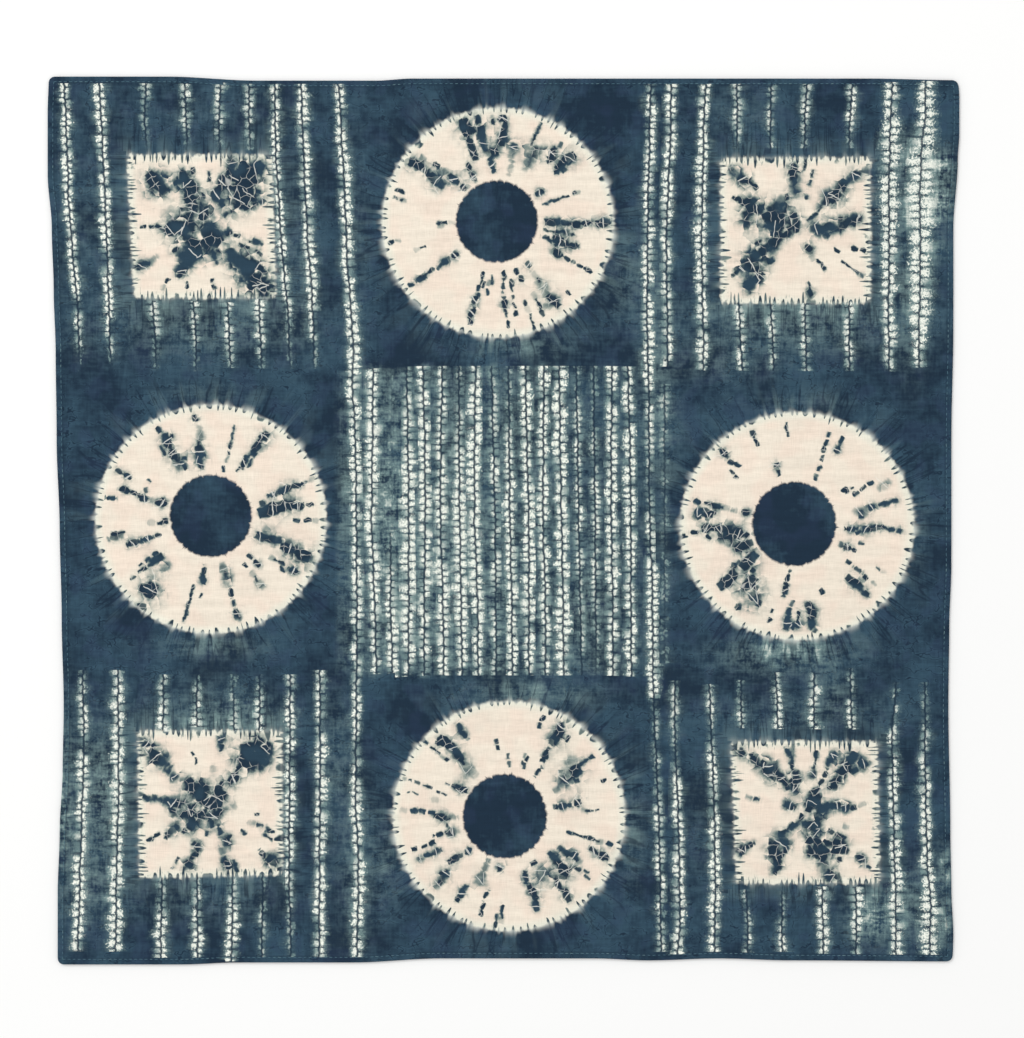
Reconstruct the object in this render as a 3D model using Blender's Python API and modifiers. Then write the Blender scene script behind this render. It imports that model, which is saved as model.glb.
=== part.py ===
"""Square of resist-dyed cloth with narrow turned hems, lying flat and face up.

Metres, +Z up. The origin is the middle of the cloth's box, on the surface that
the cloth lies on. +X runs along the top and bottom hems and +Y towards the top
hem. The cloth is one piece with no seams, so it is one solid: a sheet of even
thickness, thicker along its turned hems. Its edges bow in a little, and it lies
flat but for the low swells that are left where rings, squares and close rows
were stitched and drawn up tight for the dye.
"""

from typing import NamedTuple

import bmesh
import bpy
import numpy as np

CLOTH_WIDTH = 0.880
CLOTH_LENGTH = 0.857
SHEET_THICKNESS = 0.0012
HEM_THICKNESS = 0.0026
HEM_WIDTH = 0.0065
HEM_STEP = 0.0015
CORNER_RADIUS = 0.010
RIM_ROUNDING = 0.0005

FIELD_COLUMNS = 40
FIELD_ROWS = 39

CLOTH_BLUE = (0.030, 0.070, 0.125, 1.0)
CLOTH_ROUGHNESS = 0.9
SHARP_ANGLE = np.radians(60)


class EdgeStation(NamedTuple):
    """A share of an edge's length, and how far the edge is drawn in there."""

    share: float
    drawn_in: float


# The side edges run from the bottom hem up, the other two from left to right.
LEFT_EDGE = (
    EdgeStation(0.00, 0.0097),
    EdgeStation(0.08, 0.0097),
    EdgeStation(0.15, 0.0116),
    EdgeStation(0.22, 0.0145),
    EdgeStation(0.29, 0.0155),
    EdgeStation(0.39, 0.0135),
    EdgeStation(0.49, 0.0116),
    EdgeStation(0.59, 0.0087),
    EdgeStation(0.69, 0.0077),
    EdgeStation(0.76, 0.0058),
    EdgeStation(0.83, 0.0039),
    EdgeStation(0.89, 0.0000),
    EdgeStation(0.96, 0.0000),
    EdgeStation(1.00, 0.0010),
)
RIGHT_EDGE = (
    EdgeStation(0.00, 0.0065),
    EdgeStation(0.03, 0.0058),
    EdgeStation(0.08, 0.0077),
    EdgeStation(0.15, 0.0087),
    EdgeStation(0.29, 0.0106),
    EdgeStation(0.38, 0.0097),
    EdgeStation(0.45, 0.0077),
    EdgeStation(0.59, 0.0077),
    EdgeStation(0.72, 0.0058),
    EdgeStation(0.83, 0.0058),
    EdgeStation(0.91, 0.0015),
    EdgeStation(0.94, 0.0000),
    EdgeStation(0.98, 0.0000),
    EdgeStation(1.00, 0.0010),
)
BOTTOM_EDGE = (
    EdgeStation(0.00, 0.0000),
    EdgeStation(0.14, 0.0000),
    EdgeStation(0.20, 0.0019),
    EdgeStation(0.33, 0.0019),
    EdgeStation(0.43, 0.0058),
    EdgeStation(0.60, 0.0058),
    EdgeStation(0.66, 0.0039),
    EdgeStation(0.74, 0.0058),
    EdgeStation(0.82, 0.0039),
    EdgeStation(1.00, 0.0029),
)
TOP_EDGE = (
    EdgeStation(0.00, 0.0000),
    EdgeStation(0.13, 0.0000),
    EdgeStation(0.23, 0.0039),
    EdgeStation(0.36, 0.0039),
    EdgeStation(0.40, 0.0019),
    EdgeStation(0.90, 0.0019),
    EdgeStation(1.00, 0.0035),
)


class Swell(NamedTuple):
    """Cloth that stands a little proud of the surface, over a round or long patch."""

    x: float
    y: float
    reach_x: float
    reach_y: float
    height: float


SWELLS = (
    # The four rings: top, left, right and bottom.
    Swell(-0.005, 0.287, 0.135, 0.128, 0.0024),
    Swell(-0.283, 0.001, 0.128, 0.130, 0.0020),
    Swell(0.284, -0.005, 0.130, 0.125, 0.0022),
    Swell(0.005, -0.285, 0.130, 0.128, 0.0021),
    # The four squares, each with a rise along the rows beside it.
    Swell(-0.289, 0.283, 0.095, 0.095, 0.0013),
    Swell(-0.178, 0.285, 0.030, 0.110, 0.0010),
    Swell(0.284, 0.281, 0.095, 0.095, 0.0015),
    Swell(0.172, 0.280, 0.026, 0.110, 0.0011),
    Swell(-0.281, -0.276, 0.090, 0.095, 0.0012),
    Swell(-0.176, -0.280, 0.030, 0.105, 0.0011),
    Swell(0.290, -0.281, 0.092, 0.092, 0.0014),
    Swell(0.178, -0.285, 0.026, 0.100, 0.0010),
    # The close rows of the middle panel, either side of a flat middle.
    Swell(-0.088, 0.010, 0.045, 0.120, 0.0012),
    Swell(0.086, 0.035, 0.044, 0.095, 0.0011),
    Swell(0.090, -0.085, 0.042, 0.055, 0.0009),
)


def clear_scene():
    """Empties the scene that the script is run in."""
    for thing in list(bpy.data.objects):
        bpy.data.objects.remove(thing)


def drawn_in(stations, share):
    """How far an edge is drawn in at a share of its length, eased between stations."""
    shares = [station.share for station in stations]
    after = int(np.clip(np.searchsorted(shares, share), 1, len(stations) - 1))
    low, high = stations[after - 1], stations[after]
    t = np.clip((share - low.share) / (high.share - low.share), 0.0, 1.0)
    return low.drawn_in + (high.drawn_in - low.drawn_in) * t * t * (3.0 - 2.0 * t)


def grid_shares(full_size, field_count):
    """Shares of a side where the grid's lines run: the rim, the hem's two inner lines, the field."""
    hem_line = HEM_WIDTH / full_size
    field_line = (HEM_WIDTH + HEM_STEP) / full_size
    field = np.linspace(field_line, 1.0 - field_line, field_count + 1)
    return np.concatenate([[0.0, hem_line], field, [1.0 - hem_line, 1.0]])


def outline_point(u, v):
    """Where the point at shares u and v of a plain rectangle lies within the drawn-in edges."""
    left = -CLOTH_WIDTH / 2 + drawn_in(LEFT_EDGE, v)
    right = CLOTH_WIDTH / 2 - drawn_in(RIGHT_EDGE, v)
    bottom = -CLOTH_LENGTH / 2 + drawn_in(BOTTOM_EDGE, u)
    top = CLOTH_LENGTH / 2 - drawn_in(TOP_EDGE, u)
    return left + (right - left) * u, bottom + (top - bottom) * v


def relief(x, y):
    """Height of the cloth's underside over the surface that it lies on."""
    heights = [0.0]
    for swell in SWELLS:
        across = np.hypot((x - swell.x) / swell.reach_x, (y - swell.y) / swell.reach_y)
        heights.append(swell.height * (0.5 + 0.5 * np.cos(np.pi * min(across, 1.0))))
    return max(heights)


def cloth_material():
    """The cloth's plain blue, dull and without shine."""
    material = bpy.data.materials.new("indigo_cloth")
    material.use_nodes = True
    shader = material.node_tree.nodes["Principled BSDF"]
    shader.inputs["Base Color"].default_value = CLOTH_BLUE
    shader.inputs["Roughness"].default_value = CLOTH_ROUGHNESS
    shader.inputs["Metallic"].default_value = 0.0
    return material


def lay_out_underside(mesh, columns, rows):
    """Moves the points of a unit grid to the cloth's uneven outline and low swells.

    columns and rows are the shares of the width and length where the grid's lines
    go. Returns the numbers of the points along the rim and the hem's inner line.
    """
    last_column, last_row = len(columns) - 1, len(rows) - 1
    corner_cut = CORNER_RADIUS * (1.0 - np.sqrt(0.5))
    hem_points = []

    bm = bmesh.new()
    bm.from_mesh(mesh)
    for point in bm.verts:
        column = round((point.co.x + 0.5) * last_column)
        row = round((point.co.y + 0.5) * last_row)
        x, y = outline_point(columns[column], rows[row])
        if column in (0, last_column) and row in (0, last_row):
            x -= np.sign(x) * corner_cut
            y -= np.sign(y) * corner_cut
        point.co = (x, y, relief(x, y))
        if min(column, last_column - column, row, last_row - row) <= 1:
            hem_points.append(point.index)
    bm.to_mesh(mesh)
    bm.free()
    return hem_points


def make_cloth(collection):
    """Builds the cloth: its underside laid out, thickened upwards, its rim rounded."""
    columns = grid_shares(CLOTH_WIDTH, FIELD_COLUMNS)
    rows = grid_shares(CLOTH_LENGTH, FIELD_ROWS)
    bpy.ops.mesh.primitive_grid_add(
        x_subdivisions=len(columns) - 1, y_subdivisions=len(rows) - 1, size=1.0
    )
    cloth = bpy.context.object
    cloth.name = "cloth"
    cloth.data.name = "cloth"
    hem_points = lay_out_underside(cloth.data, columns, rows)

    layers = cloth.vertex_groups.new(name="layers")
    layers.add(range(len(cloth.data.vertices)), SHEET_THICKNESS / HEM_THICKNESS, "REPLACE")
    layers.add(hem_points, 1.0, "REPLACE")

    thicken = cloth.modifiers.new("thickness", "SOLIDIFY")
    thicken.thickness = HEM_THICKNESS
    thicken.offset = 1.0
    thicken.vertex_group = layers.name

    round_rim = cloth.modifiers.new("rounded_rim", "BEVEL")
    round_rim.width = RIM_ROUNDING
    round_rim.segments = 1
    round_rim.limit_method = "ANGLE"
    round_rim.angle_limit = SHARP_ANGLE

    cloth.data.materials.append(cloth_material())
    cloth.data.shade_smooth()
    cloth.data.set_sharp_from_angle(angle=SHARP_ANGLE)
    for holder in list(cloth.users_collection):
        holder.objects.unlink(cloth)
    collection.objects.link(cloth)


def main():
    """Builds the cloth in a collection of its own."""
    clear_scene()
    collection = bpy.data.collections.new("resist_dyed_cloth")
    bpy.context.scene.collection.children.link(collection)
    make_cloth(collection)


main()
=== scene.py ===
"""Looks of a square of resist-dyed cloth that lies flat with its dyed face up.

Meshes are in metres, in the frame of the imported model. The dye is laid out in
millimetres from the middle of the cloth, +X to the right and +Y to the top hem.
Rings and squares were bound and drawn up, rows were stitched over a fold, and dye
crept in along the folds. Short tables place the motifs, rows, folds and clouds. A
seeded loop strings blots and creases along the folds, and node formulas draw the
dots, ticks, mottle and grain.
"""

import logging
import math
from dataclasses import dataclass, field
from enum import Enum
from typing import Callable, NamedTuple, Optional, Sequence, Union

import bpy
import numpy as np
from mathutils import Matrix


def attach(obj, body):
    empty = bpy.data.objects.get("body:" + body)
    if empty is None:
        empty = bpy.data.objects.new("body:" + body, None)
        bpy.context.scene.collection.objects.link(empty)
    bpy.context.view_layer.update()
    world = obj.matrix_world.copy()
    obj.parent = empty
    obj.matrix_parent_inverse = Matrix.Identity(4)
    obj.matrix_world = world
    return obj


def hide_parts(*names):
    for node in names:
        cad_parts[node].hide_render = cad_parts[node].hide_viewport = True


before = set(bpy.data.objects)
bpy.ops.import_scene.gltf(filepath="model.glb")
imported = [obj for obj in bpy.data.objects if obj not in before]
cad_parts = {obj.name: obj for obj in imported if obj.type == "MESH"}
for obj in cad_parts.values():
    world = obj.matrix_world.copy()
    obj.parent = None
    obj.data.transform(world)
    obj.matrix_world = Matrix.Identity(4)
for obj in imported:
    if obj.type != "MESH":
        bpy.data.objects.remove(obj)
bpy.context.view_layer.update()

LOG = logging.getLogger("resist_dyed_cloth")
MM = 0.001
FAR_AWAY = 9999.0
BLOTS_A_FACE = 4
CREASES_A_FACE = 2

Points = np.ndarray


class EdgeStation(NamedTuple):
    """A share of an edge's length, and how far the edge is drawn in there."""

    share: float
    drawn_in: float


class Swell(NamedTuple):
    """Cloth that stands a little proud over a round or long patch, in metres."""

    x: float
    y: float
    reach_x: float
    reach_y: float
    height: float


class Stroke(NamedTuple):
    """A straight mark from one point to another, in millimetres, and how strong it is."""

    start_x: float
    start_y: float
    end_x: float
    end_y: float
    width: float
    tone: float = 1.0


class Fold(NamedTuple):
    """A fold that dye crept along: its bearing, its two ends and the width of its blots."""

    bearing: float
    inner: float
    outer: float
    width: float


class RowStation(NamedTuple):
    """Where a stitched row passes at a height, and how strongly its dots show, 0 to 10."""

    y: float
    x: float
    strength: float


class SoftPatch(NamedTuple):
    """A soft pale cloud in the dyed ground, in millimetres."""

    x: float
    y: float
    reach_x: float
    reach_y: float
    value: float

    def over(self, x: Points, y: Points) -> Points:
        """How strong the patch is at each place, fading out from its middle."""
        across, along = (x - self.x) / self.reach_x, (y - self.y) / self.reach_y
        return self.value * np.exp(-(across**2) - along**2)


class Layer(Enum):
    """Names of the chart's layers, as the mesh carries them and the material reads them."""

    OUTLINE = "motif_outline"
    ROW_LINE = "row_line"
    ROW_DYE = "row_dye"
    GROUND = "ground_clouds"
    BLOT = "blot"
    CREASE = "pale_crease"


class Domain(Enum):
    """The part of a mesh that carries one value of a layer."""

    POINT = "POINT"
    FACE = "FACE"
    CORNER = "CORNER"


def named(kind: type, *rows: tuple) -> tuple:
    """Gives each row of a table its kind's column names."""
    return tuple(kind(*row) for row in rows)


# The side edges run from the bottom hem up, the other two from left to right.
LEFT_EDGE = named(
    EdgeStation,
    (0.00, 0.0097), (0.08, 0.0097), (0.15, 0.0116), (0.22, 0.0145), (0.29, 0.0155), (0.39, 0.0135),
    (0.49, 0.0116), (0.59, 0.0087), (0.69, 0.0077), (0.76, 0.0058), (0.83, 0.0039), (0.89, 0.0000),
    (0.96, 0.0000), (1.00, 0.0010),
)
RIGHT_EDGE = named(
    EdgeStation,
    (0.00, 0.0065), (0.03, 0.0058), (0.08, 0.0077), (0.15, 0.0087), (0.29, 0.0106), (0.38, 0.0097),
    (0.45, 0.0077), (0.59, 0.0077), (0.72, 0.0058), (0.83, 0.0058), (0.91, 0.0015), (0.94, 0.0000),
    (0.98, 0.0000), (1.00, 0.0010),
)
BOTTOM_EDGE = named(
    EdgeStation,
    (0.00, 0.0000), (0.14, 0.0000), (0.20, 0.0019), (0.33, 0.0019), (0.43, 0.0058), (0.60, 0.0058),
    (0.66, 0.0039), (0.74, 0.0058), (0.82, 0.0039), (1.00, 0.0029),
)
TOP_EDGE = named(
    EdgeStation,
    (0.00, 0.0000), (0.13, 0.0000), (0.23, 0.0039), (0.36, 0.0039), (0.40, 0.0019), (0.90, 0.0019),
    (1.00, 0.0035),
)

SWELLS = named(
    Swell,
    # The four rings: top, left, right and bottom.
    (-0.005, 0.287, 0.135, 0.128, 0.0024), (-0.283, 0.001, 0.128, 0.130, 0.0020),
    (0.284, -0.005, 0.130, 0.125, 0.0022), (0.005, -0.285, 0.130, 0.128, 0.0021),
    # The four squares, each with a rise along the rows beside it.
    (-0.289, 0.283, 0.095, 0.095, 0.0013), (-0.178, 0.285, 0.030, 0.110, 0.0010),
    (0.284, 0.281, 0.095, 0.095, 0.0015), (0.172, 0.280, 0.026, 0.110, 0.0011),
    (-0.281, -0.276, 0.090, 0.095, 0.0012), (-0.176, -0.280, 0.030, 0.105, 0.0011),
    (0.290, -0.281, 0.092, 0.092, 0.0014), (0.178, -0.285, 0.026, 0.100, 0.0010),
    # The close rows of the middle panel, either side of a flat middle.
    (-0.088, 0.010, 0.045, 0.120, 0.0012), (0.086, 0.035, 0.044, 0.095, 0.0011),
    (0.090, -0.085, 0.042, 0.055, 0.0009),
)

# Each row is (height, place across, strength) at a few stations, from its top down.
ROWS_TOP_LEFT = (
    ((420, -424, 8), (365, -421.5, 8), (310, -420, 8), (252, -415.5, 7), (199, -410.5, 5),
     (165, -410, 2), (145, -409, 0)),
    ((420, -390, 9), (339, -386, 9), (281, -383.5, 9), (224, -381.5, 7), (174, -380, 4),
     (149, -379, 0)),
    ((420, -345.5, 7), (387, -346.5, 4), (361, -344.5, 1)),
    ((211, -339, 4), (184, -336.5, 4), (147, -335.5, 1)),
    ((420, -307.5, 7), (387, -306.5, 4), (358, -305.5, 1)),
    ((211, -299, 4), (174, -297, 4), (147, -296.5, 1)),
    ((420, -273, 6), (387, -275, 4), (358, -273.5, 1)),
    ((211, -266.5, 5), (174, -264.5, 5), (147, -263.5, 1)),
    ((420, -246, 6), (387, -245.5, 4), (358, -244.5, 1)),
    ((211, -236, 6), (174, -234.5, 5), (147, -233.5, 1)),
    ((420, -220.5, 6), (377, -220.5, 5), (348, -219.5, 6), (310, -217, 7), (261, -214, 7),
     (223, -210, 6), (199, -208, 4), (147, -206, 1)),
    ((420, -195.5, 6), (365, -193.5, 8), (310, -191, 7), (261, -188.5, 7), (223, -185, 6),
     (184, -183.5, 4), (147, -183, 1)),
)
ROWS_BOTTOM_LEFT = (
    ((-146, -406, 3), (-173, -406, 4), (-212, -405, 6), (-251, -406, 8), (-328, -408.5, 8),
     (-367, -409.5, 9), (-415, -411, 9)),
    ((-146, -372.5, 6), (-173, -372, 7), (-260, -371.5, 8), (-328, -373.5, 9), (-415, -374.5, 9)),
    ((-150, -328.5, 4), (-179, -328.5, 5), (-202, -328.5, 7)),
    ((-340, -329.5, 2), (-362, -330, 4), (-391, -330.5, 8), (-420, -331, 8)),
    ((-150, -296, 2), (-179, -296, 4), (-200, -296, 6)),
    ((-340, -296, 2), (-367, -295.5, 4), (-396, -295.5, 8), (-420, -295.5, 7)),
    ((-150, -261, 1), (-179, -260.5, 2), (-200, -260.5, 4)),
    ((-340, -261.5, 1), (-359, -261.5, 4), (-386, -262, 9), (-423, -262.5, 9)),
    ((-150, -235.5, 3), (-179, -235.5, 5), (-200, -235.5, 6)),
    ((-340, -232.5, 2), (-359, -232.5, 3), (-420, -233.5, 3)),
    ((-150, -206, 5), (-193, -206, 6), (-260, -206.5, 7), (-318, -207, 6), (-347, -207, 4),
     (-386, -206, 3), (-420, -205, 2)),
    ((-146, -177.5, 7), (-196, -177, 7), (-260, -177, 8), (-328, -177.5, 8), (-420, -178, 8)),
)
ROWS_MIDDLE = (
    ((420, -159, 7), (365, -156, 9), (310, -153, 9), (252, -151, 9), (199, -147, 9),
     (170, -145, 9), (131, -146, 9), (78, -143, 8), (0, -142, 6), (-106, -141.5, 6),
     (-227, -142.5, 6), (-270, -143, 7), (-328, -140, 8), (-376, -140.5, 9), (-420, -141.5, 8)),
    ((147, -126, 8), (78, -126.5, 9), (0, -127.5, 9), (-77, -124.5, 7), (-148, -122.5, 5)),
    ((147, -108.5, 1), (0, -108.5, 0.5), (-48, -109, 3), (-86, -109, 7), (-148, -107, 7)),
    ((147, -93.5, 2), (87, -92.5, 5), (20, -91.5, 9), (-77, -91.5, 9), (-148, -92, 5)),
    ((147, -78, 9), (78, -76, 7), (0, -75.5, 7), (-77, -76.5, 7), (-148, -76.5, 4)),
    ((147, -59, 3), (78, -60.5, 6), (0, -61, 7), (-77, -58.5, 6), (-148, -57.5, 6)),
    ((147, -43, 2), (78, -43, 4), (20, -42.5, 7), (-77, -41, 9), (-148, -40, 5)),
    ((149, -27, 9), (78, -28, 10), (0, -28, 9), (-77, -25, 8), (-150, -24.5, 6)),
    ((147, -11.5, 2), (78, -10, 4), (0, -8, 5), (-77, -7.5, 4), (-148, -7, 4)),
    ((147, 5, 2), (78, 5.5, 3), (10, 6, 7), (-77, 8, 6), (-148, 8.5, 6)),
    ((149, 21, 7), (78, 22.5, 6), (0, 24.5, 8), (-77, 24.5, 8), (-148, 24.5, 6)),
    ((149, 39, 8), (78, 38.5, 7), (0, 38, 7), (-77, 40.5, 5), (-148, 40.5, 6)),
    ((149, 54, 8), (78, 54.5, 8), (0, 56, 7), (-77, 57.5, 9), (-148, 58, 9)),
    ((147, 70, 2), (78, 71.5, 4), (0, 72.5, 5), (-77, 74, 3), (-148, 75.5, 2)),
    ((147, 87, 2), (78, 87.5, 3), (0, 88.5, 4), (-77, 89, 3), (-148, 89.5, 1)),
    ((147, 105, 7), (78, 104, 8), (0, 104, 8), (-77, 105.5, 6), (-148, 105.5, 6)),
    ((147, 120, 5), (78, 122, 8), (0, 123, 8), (-77, 123, 7), (-148, 123.5, 6)),
    ((420, 142, 5), (365, 141, 6), (310, 139.5, 6), (184, 138.5, 6), (143, 140, 6),
     (97, 140.5, 4), (39, 140.5, 3), (-9, 141.5, 4), (-57, 143.5, 7), (-164, 144.5, 8),
     (-178, 145, 3), (-222, 147, 2.5), (-267, 149, 3), (-280, 149.5, 5), (-328, 151, 6),
     (-367, 151.5, 4), (-415, 152, 3.5)),
    ((130, 155.5, 2), (-9, 155.5, 1.5), (-135, 155.5, 1)),
)
ROWS_TOP_RIGHT = (
    ((420, 162, 8), (358, 161, 9), (323, 159, 8), (266, 157, 6), (174, 158.5, 6), (149, 158.5, 4)),
    ((420, 195, 8), (387, 193.5, 8), (334, 192.5, 8), (266, 191, 8), (223, 192, 7),
     (174, 193, 7), (147, 193, 5)),
    ((420, 225.5, 4), (387, 225.5, 4), (360, 225.5, 1.5)),
    ((209, 227, 5), (174, 229, 6), (147, 230.5, 5)),
    ((420, 258, 5), (387, 258, 4), (360, 257.5, 2)),
    ((209, 258, 3), (174, 260, 4), (145, 260.5, 3)),
    ((420, 293, 5), (387, 291, 4), (360, 290.5, 2)),
    ((209, 291, 4), (174, 291.5, 5), (145, 293, 4)),
    ((420, 337, 5), (392, 334.5, 6), (379, 334, 3), (360, 334, 1)),
    ((209, 333.5, 4), (174, 334, 5), (145, 334, 3)),
    ((422, 375, 9), (365, 373, 11), (310, 372, 11), (266, 372.5, 10), (198, 371.5, 9),
     (170, 372, 7), (145, 372.5, 3)),
    ((422, 407.5, 9), (387, 407, 11), (365, 404, 14), (319, 402, 15), (252, 402.5, 12),
     (198, 401.5, 12), (170, 401, 8), (149, 401, 4)),
)
ROWS_BOTTOM_RIGHT = (
    ((-158, 165.5, 4), (-217, 165.5, 2), (-231, 166.5, 4), (-270, 168, 5), (-309, 169.5, 6),
     (-328, 169.5, 7), (-352, 170, 9), (-382, 170.5, 9), (-417, 168.5, 9)),
    ((-158, 198.5, 3), (-200, 200.5, 4), (-227, 201.5, 6), (-260, 203, 8), (-309, 204, 8),
     (-361, 204.5, 9), (-415, 203.5, 8)),
    ((-154, 229.5, 2), (-200, 229.5, 4)),
    ((-357, 234.5, 2), (-386, 235.5, 3), (-415, 236, 5)),
    ((-150, 263, 3), (-200, 265, 6)),
    ((-357, 268.5, 1.5), (-391, 269, 4), (-415, 269, 6)),
    ((-150, 299.5, 4), (-200, 300, 6)),
    ((-355, 307.5, 7), (-391, 308.5, 7), (-417, 308.5, 6)),
    ((-146, 335, 3), (-200, 336, 5)),
    ((-353, 340.5, 7), (-417, 340.5, 5)),
    ((-158, 379, 2), (-200, 375.5, 3), (-217, 375, 6), (-260, 376, 7), (-328, 377.5, 8),
     (-376, 379, 10), (-417, 378.5, 9)),
    ((-158, 407, 2.5), (-200, 407, 3), (-231, 407, 5), (-260, 407.5, 7), (-328, 409, 8),
     (-371, 412.5, 11), (-417, 411.5, 11)),
)

# Bearings are in degrees from +X, the rest in millimetres from a motif's middle.
TOP_RING_FOLDS = named(
    Fold,
    (146, 65, 103, 7), (135, 45, 90, 5), (162, 96, 106, 3), (190, 97, 107, 3), (180, 42, 62, 2),
    (217, 48, 105, 5), (109, 66, 103, 10), (100, 72, 104, 6), (117, 46, 66, 4), (87, 76, 102, 6),
    (94, 50, 70, 6), (78, 48, 76, 6), (62, 58, 80, 9), (52, 80, 98, 6), (42, 78, 97, 8),
    (67, 82, 105, 2), (36, 46, 56, 4), (22, 47, 80, 3), (1, 47, 106, 7), (-9, 45, 68, 4),
    (-18, 45, 80, 6), (-28, 62, 101, 5), (-56, 48, 102, 6), (-69, 48, 60, 5), (-84, 47, 103, 5),
    (-78, 57, 90, 3), (-106, 49, 101, 4), (-71, 80, 103, 2.5), (-64, 76, 102, 3), (-45, 94, 102, 3),
)
LEFT_RING_FOLDS = named(
    Fold,
    (122, 58, 102, 6), (101, 50, 100, 7), (57, 58, 98, 7), (75, 48, 98, 2.5), (21, 60, 108, 5),
    (8, 50, 80, 11), (8, 80, 102, 5), (0, 80, 104, 4), (-21, 48, 100, 9), (-33, 68, 102, 5),
    (-44, 50, 70, 5), (-53, 64, 82, 4), (-76, 46, 100, 5), (-98, 46, 62, 5), (-105, 65, 102, 3),
    (191, 88, 100, 7), (199, 50, 86, 5), (218, 60, 70, 7), (228, 60, 70, 7), (217, 72, 98, 3),
    (228, 86, 98, 11), (153, 86, 103, 4), (168, 94, 103, 5), (163, 46, 92, 5), (184, 42, 61, 4),
)
RIGHT_RING_FOLDS = named(
    Fold,
    (116, 86, 104, 4), (136, 86, 105, 4), (109, 52, 63, 4), (96, 86, 100, 3), (70, 48, 98, 3),
    (62, 80, 102, 4), (38, 54, 62, 5), (29, 62, 84, 4), (24, 88, 99, 5), (14, 58, 98, 4),
    (-3, 47, 100, 5), (-22, 45, 60, 7), (-34, 58, 80, 5), (-46, 70, 95, 7), (-37, 80, 98, 3),
    (-98, 44, 73, 6), (-82, 76, 99, 7), (-96, 79, 99, 6), (-89, 82, 102, 4), (-70, 64, 73, 4),
    (-106, 84, 102, 3), (-120, 78, 92, 10), (-128, 66, 78, 8), (220, 76, 97, 9), (214, 50, 68, 8),
    (201, 48, 62, 7), (187, 54, 70, 7), (181, 66, 90, 8), (184, 95, 111, 4), (173, 84, 98, 7),
    (166, 48, 106, 4),
)
BOTTOM_RING_FOLDS = named(
    Fold,
    (60, 62, 101, 7), (71, 90, 103, 3), (58, 46, 60, 5), (91, 48, 60, 3), (73, 48, 61, 3),
    (35, 78, 101, 3), (31, 60, 80, 10), (22, 95, 104, 4), (13, 45, 70, 7), (-15, 58, 104, 3),
    (-21, 84, 102, 8), (-31, 58, 75, 5), (-46, 54, 78, 10), (-38, 80, 104, 3), (-54, 76, 100, 6),
    (-73, 56, 94, 8), (-62, 62, 76, 8), (-100, 47, 54, 4), (-116, 47, 70, 7), (-105, 75, 100, 5),
    (-94, 85, 103, 4), (-121, 80, 98, 7), (222, 80, 99, 6), (219, 49, 78, 6), (206, 74, 96, 6),
    (199, 76, 104, 3), (196, 52, 79, 6), (180, 50, 70, 6), (177, 72, 105, 3), (160, 80, 108, 2),
    (138, 80, 108, 2), (118, 86, 102, 4), (131, 52, 100, 7), (151, 48, 58, 5),
)
TOP_LEFT_SQUARE_FOLDS = named(
    Fold,
    (137, 54, 76, 12), (110, 40, 62, 7), (68, 30, 70, 6), (58, 54, 73, 6), (47, 54, 82, 12),
    (38, 38, 62, 9), (26, 44, 66, 4), (120, 22, 34, 8), (90, 10, 22, 7), (-45, 2, 22, 14),
    (190, 12, 34, 11), (238, 16, 36, 12), (178, 42, 66, 3), (212, 54, 74, 5), (243, 40, 56, 8),
    (236, 60, 72, 3), (-14, 30, 58, 3), (-25, 38, 62, 3), (-42, 34, 60, 8), (-35, 58, 74, 5),
    (-45, 60, 82, 9), (-82, 50, 60, 3), (252, 54, 64, 4),
)
TOP_RIGHT_SQUARE_FOLDS = named(
    Fold,
    (137, 70, 87, 5), (135, 54, 72, 4), (92, 34, 62, 5), (45, 58, 80, 6), (44, 36, 52, 9),
    (42, 14, 34, 3), (9, 14, 64, 5), (110, 0, 14, 9), (138, 16, 34, 10), (170, 16, 32, 10),
    (152, 40, 56, 6), (168, 40, 56, 8), (205, 8, 30, 7), (214, 28, 50, 9), (219, 48, 64, 10),
    (214, 62, 78, 5), (232, 54, 72, 5), (154, 56, 73, 4), (-78, 52, 64, 4), (-36, 52, 78, 2.5),
    (-62, 18, 34, 5), (-18, 56, 72, 3),
)
BOTTOM_LEFT_SQUARE_FOLDS = named(
    Fold,
    (137, 66, 90, 7), (138, 56, 68, 6), (143, 44, 62, 4), (137, 14, 34, 9), (140, 0, 12, 10),
    (52, 2, 20, 8), (70, 18, 30, 5), (56, 30, 50, 6), (54, 52, 76, 9), (46, 60, 78, 8), (82, 54, 68, 4),
    (173, 44, 70, 3.5), (175, 32, 44, 8), (195, 20, 38, 6), (215, 8, 26, 7), (268, 6, 20, 6),
    (222, 24, 38, 6), (210, 40, 56, 6), (208, 58, 72, 5), (-70, 20, 40, 6), (-77, 42, 62, 6),
    (250, 38, 62, 5), (236, 60, 72, 2.5), (-22, 38, 64, 3), (-43, 62, 82, 6),
)
BOTTOM_RIGHT_SQUARE_FOLDS = named(
    Fold,
    (136, 64, 86, 6), (132, 54, 66, 3), (129, 42, 58, 9), (125, 26, 46, 4), (115, 12, 32, 5),
    (103, 34, 62, 4), (78, 34, 60, 4), (70, 2, 20, 11), (58, 20, 34, 5), (60, 36, 62, 5),
    (45, 34, 50, 7), (46, 52, 76, 6), (38, 60, 76, 4), (8, 14, 36, 6), (4, 38, 64, 4), (160, 10, 20, 7),
    (240, 2, 16, 4), (-62, 12, 26, 7), (228, 16, 36, 4), (230, 34, 50, 9), (244, 44, 66, 6),
    (212, 58, 72, 5), (-64, 34, 50, 8), (-45, 42, 58, 9), (-67, 52, 68, 6), (-41, 68, 84, 4),
    (-19, 40, 52, 4),
)

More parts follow.
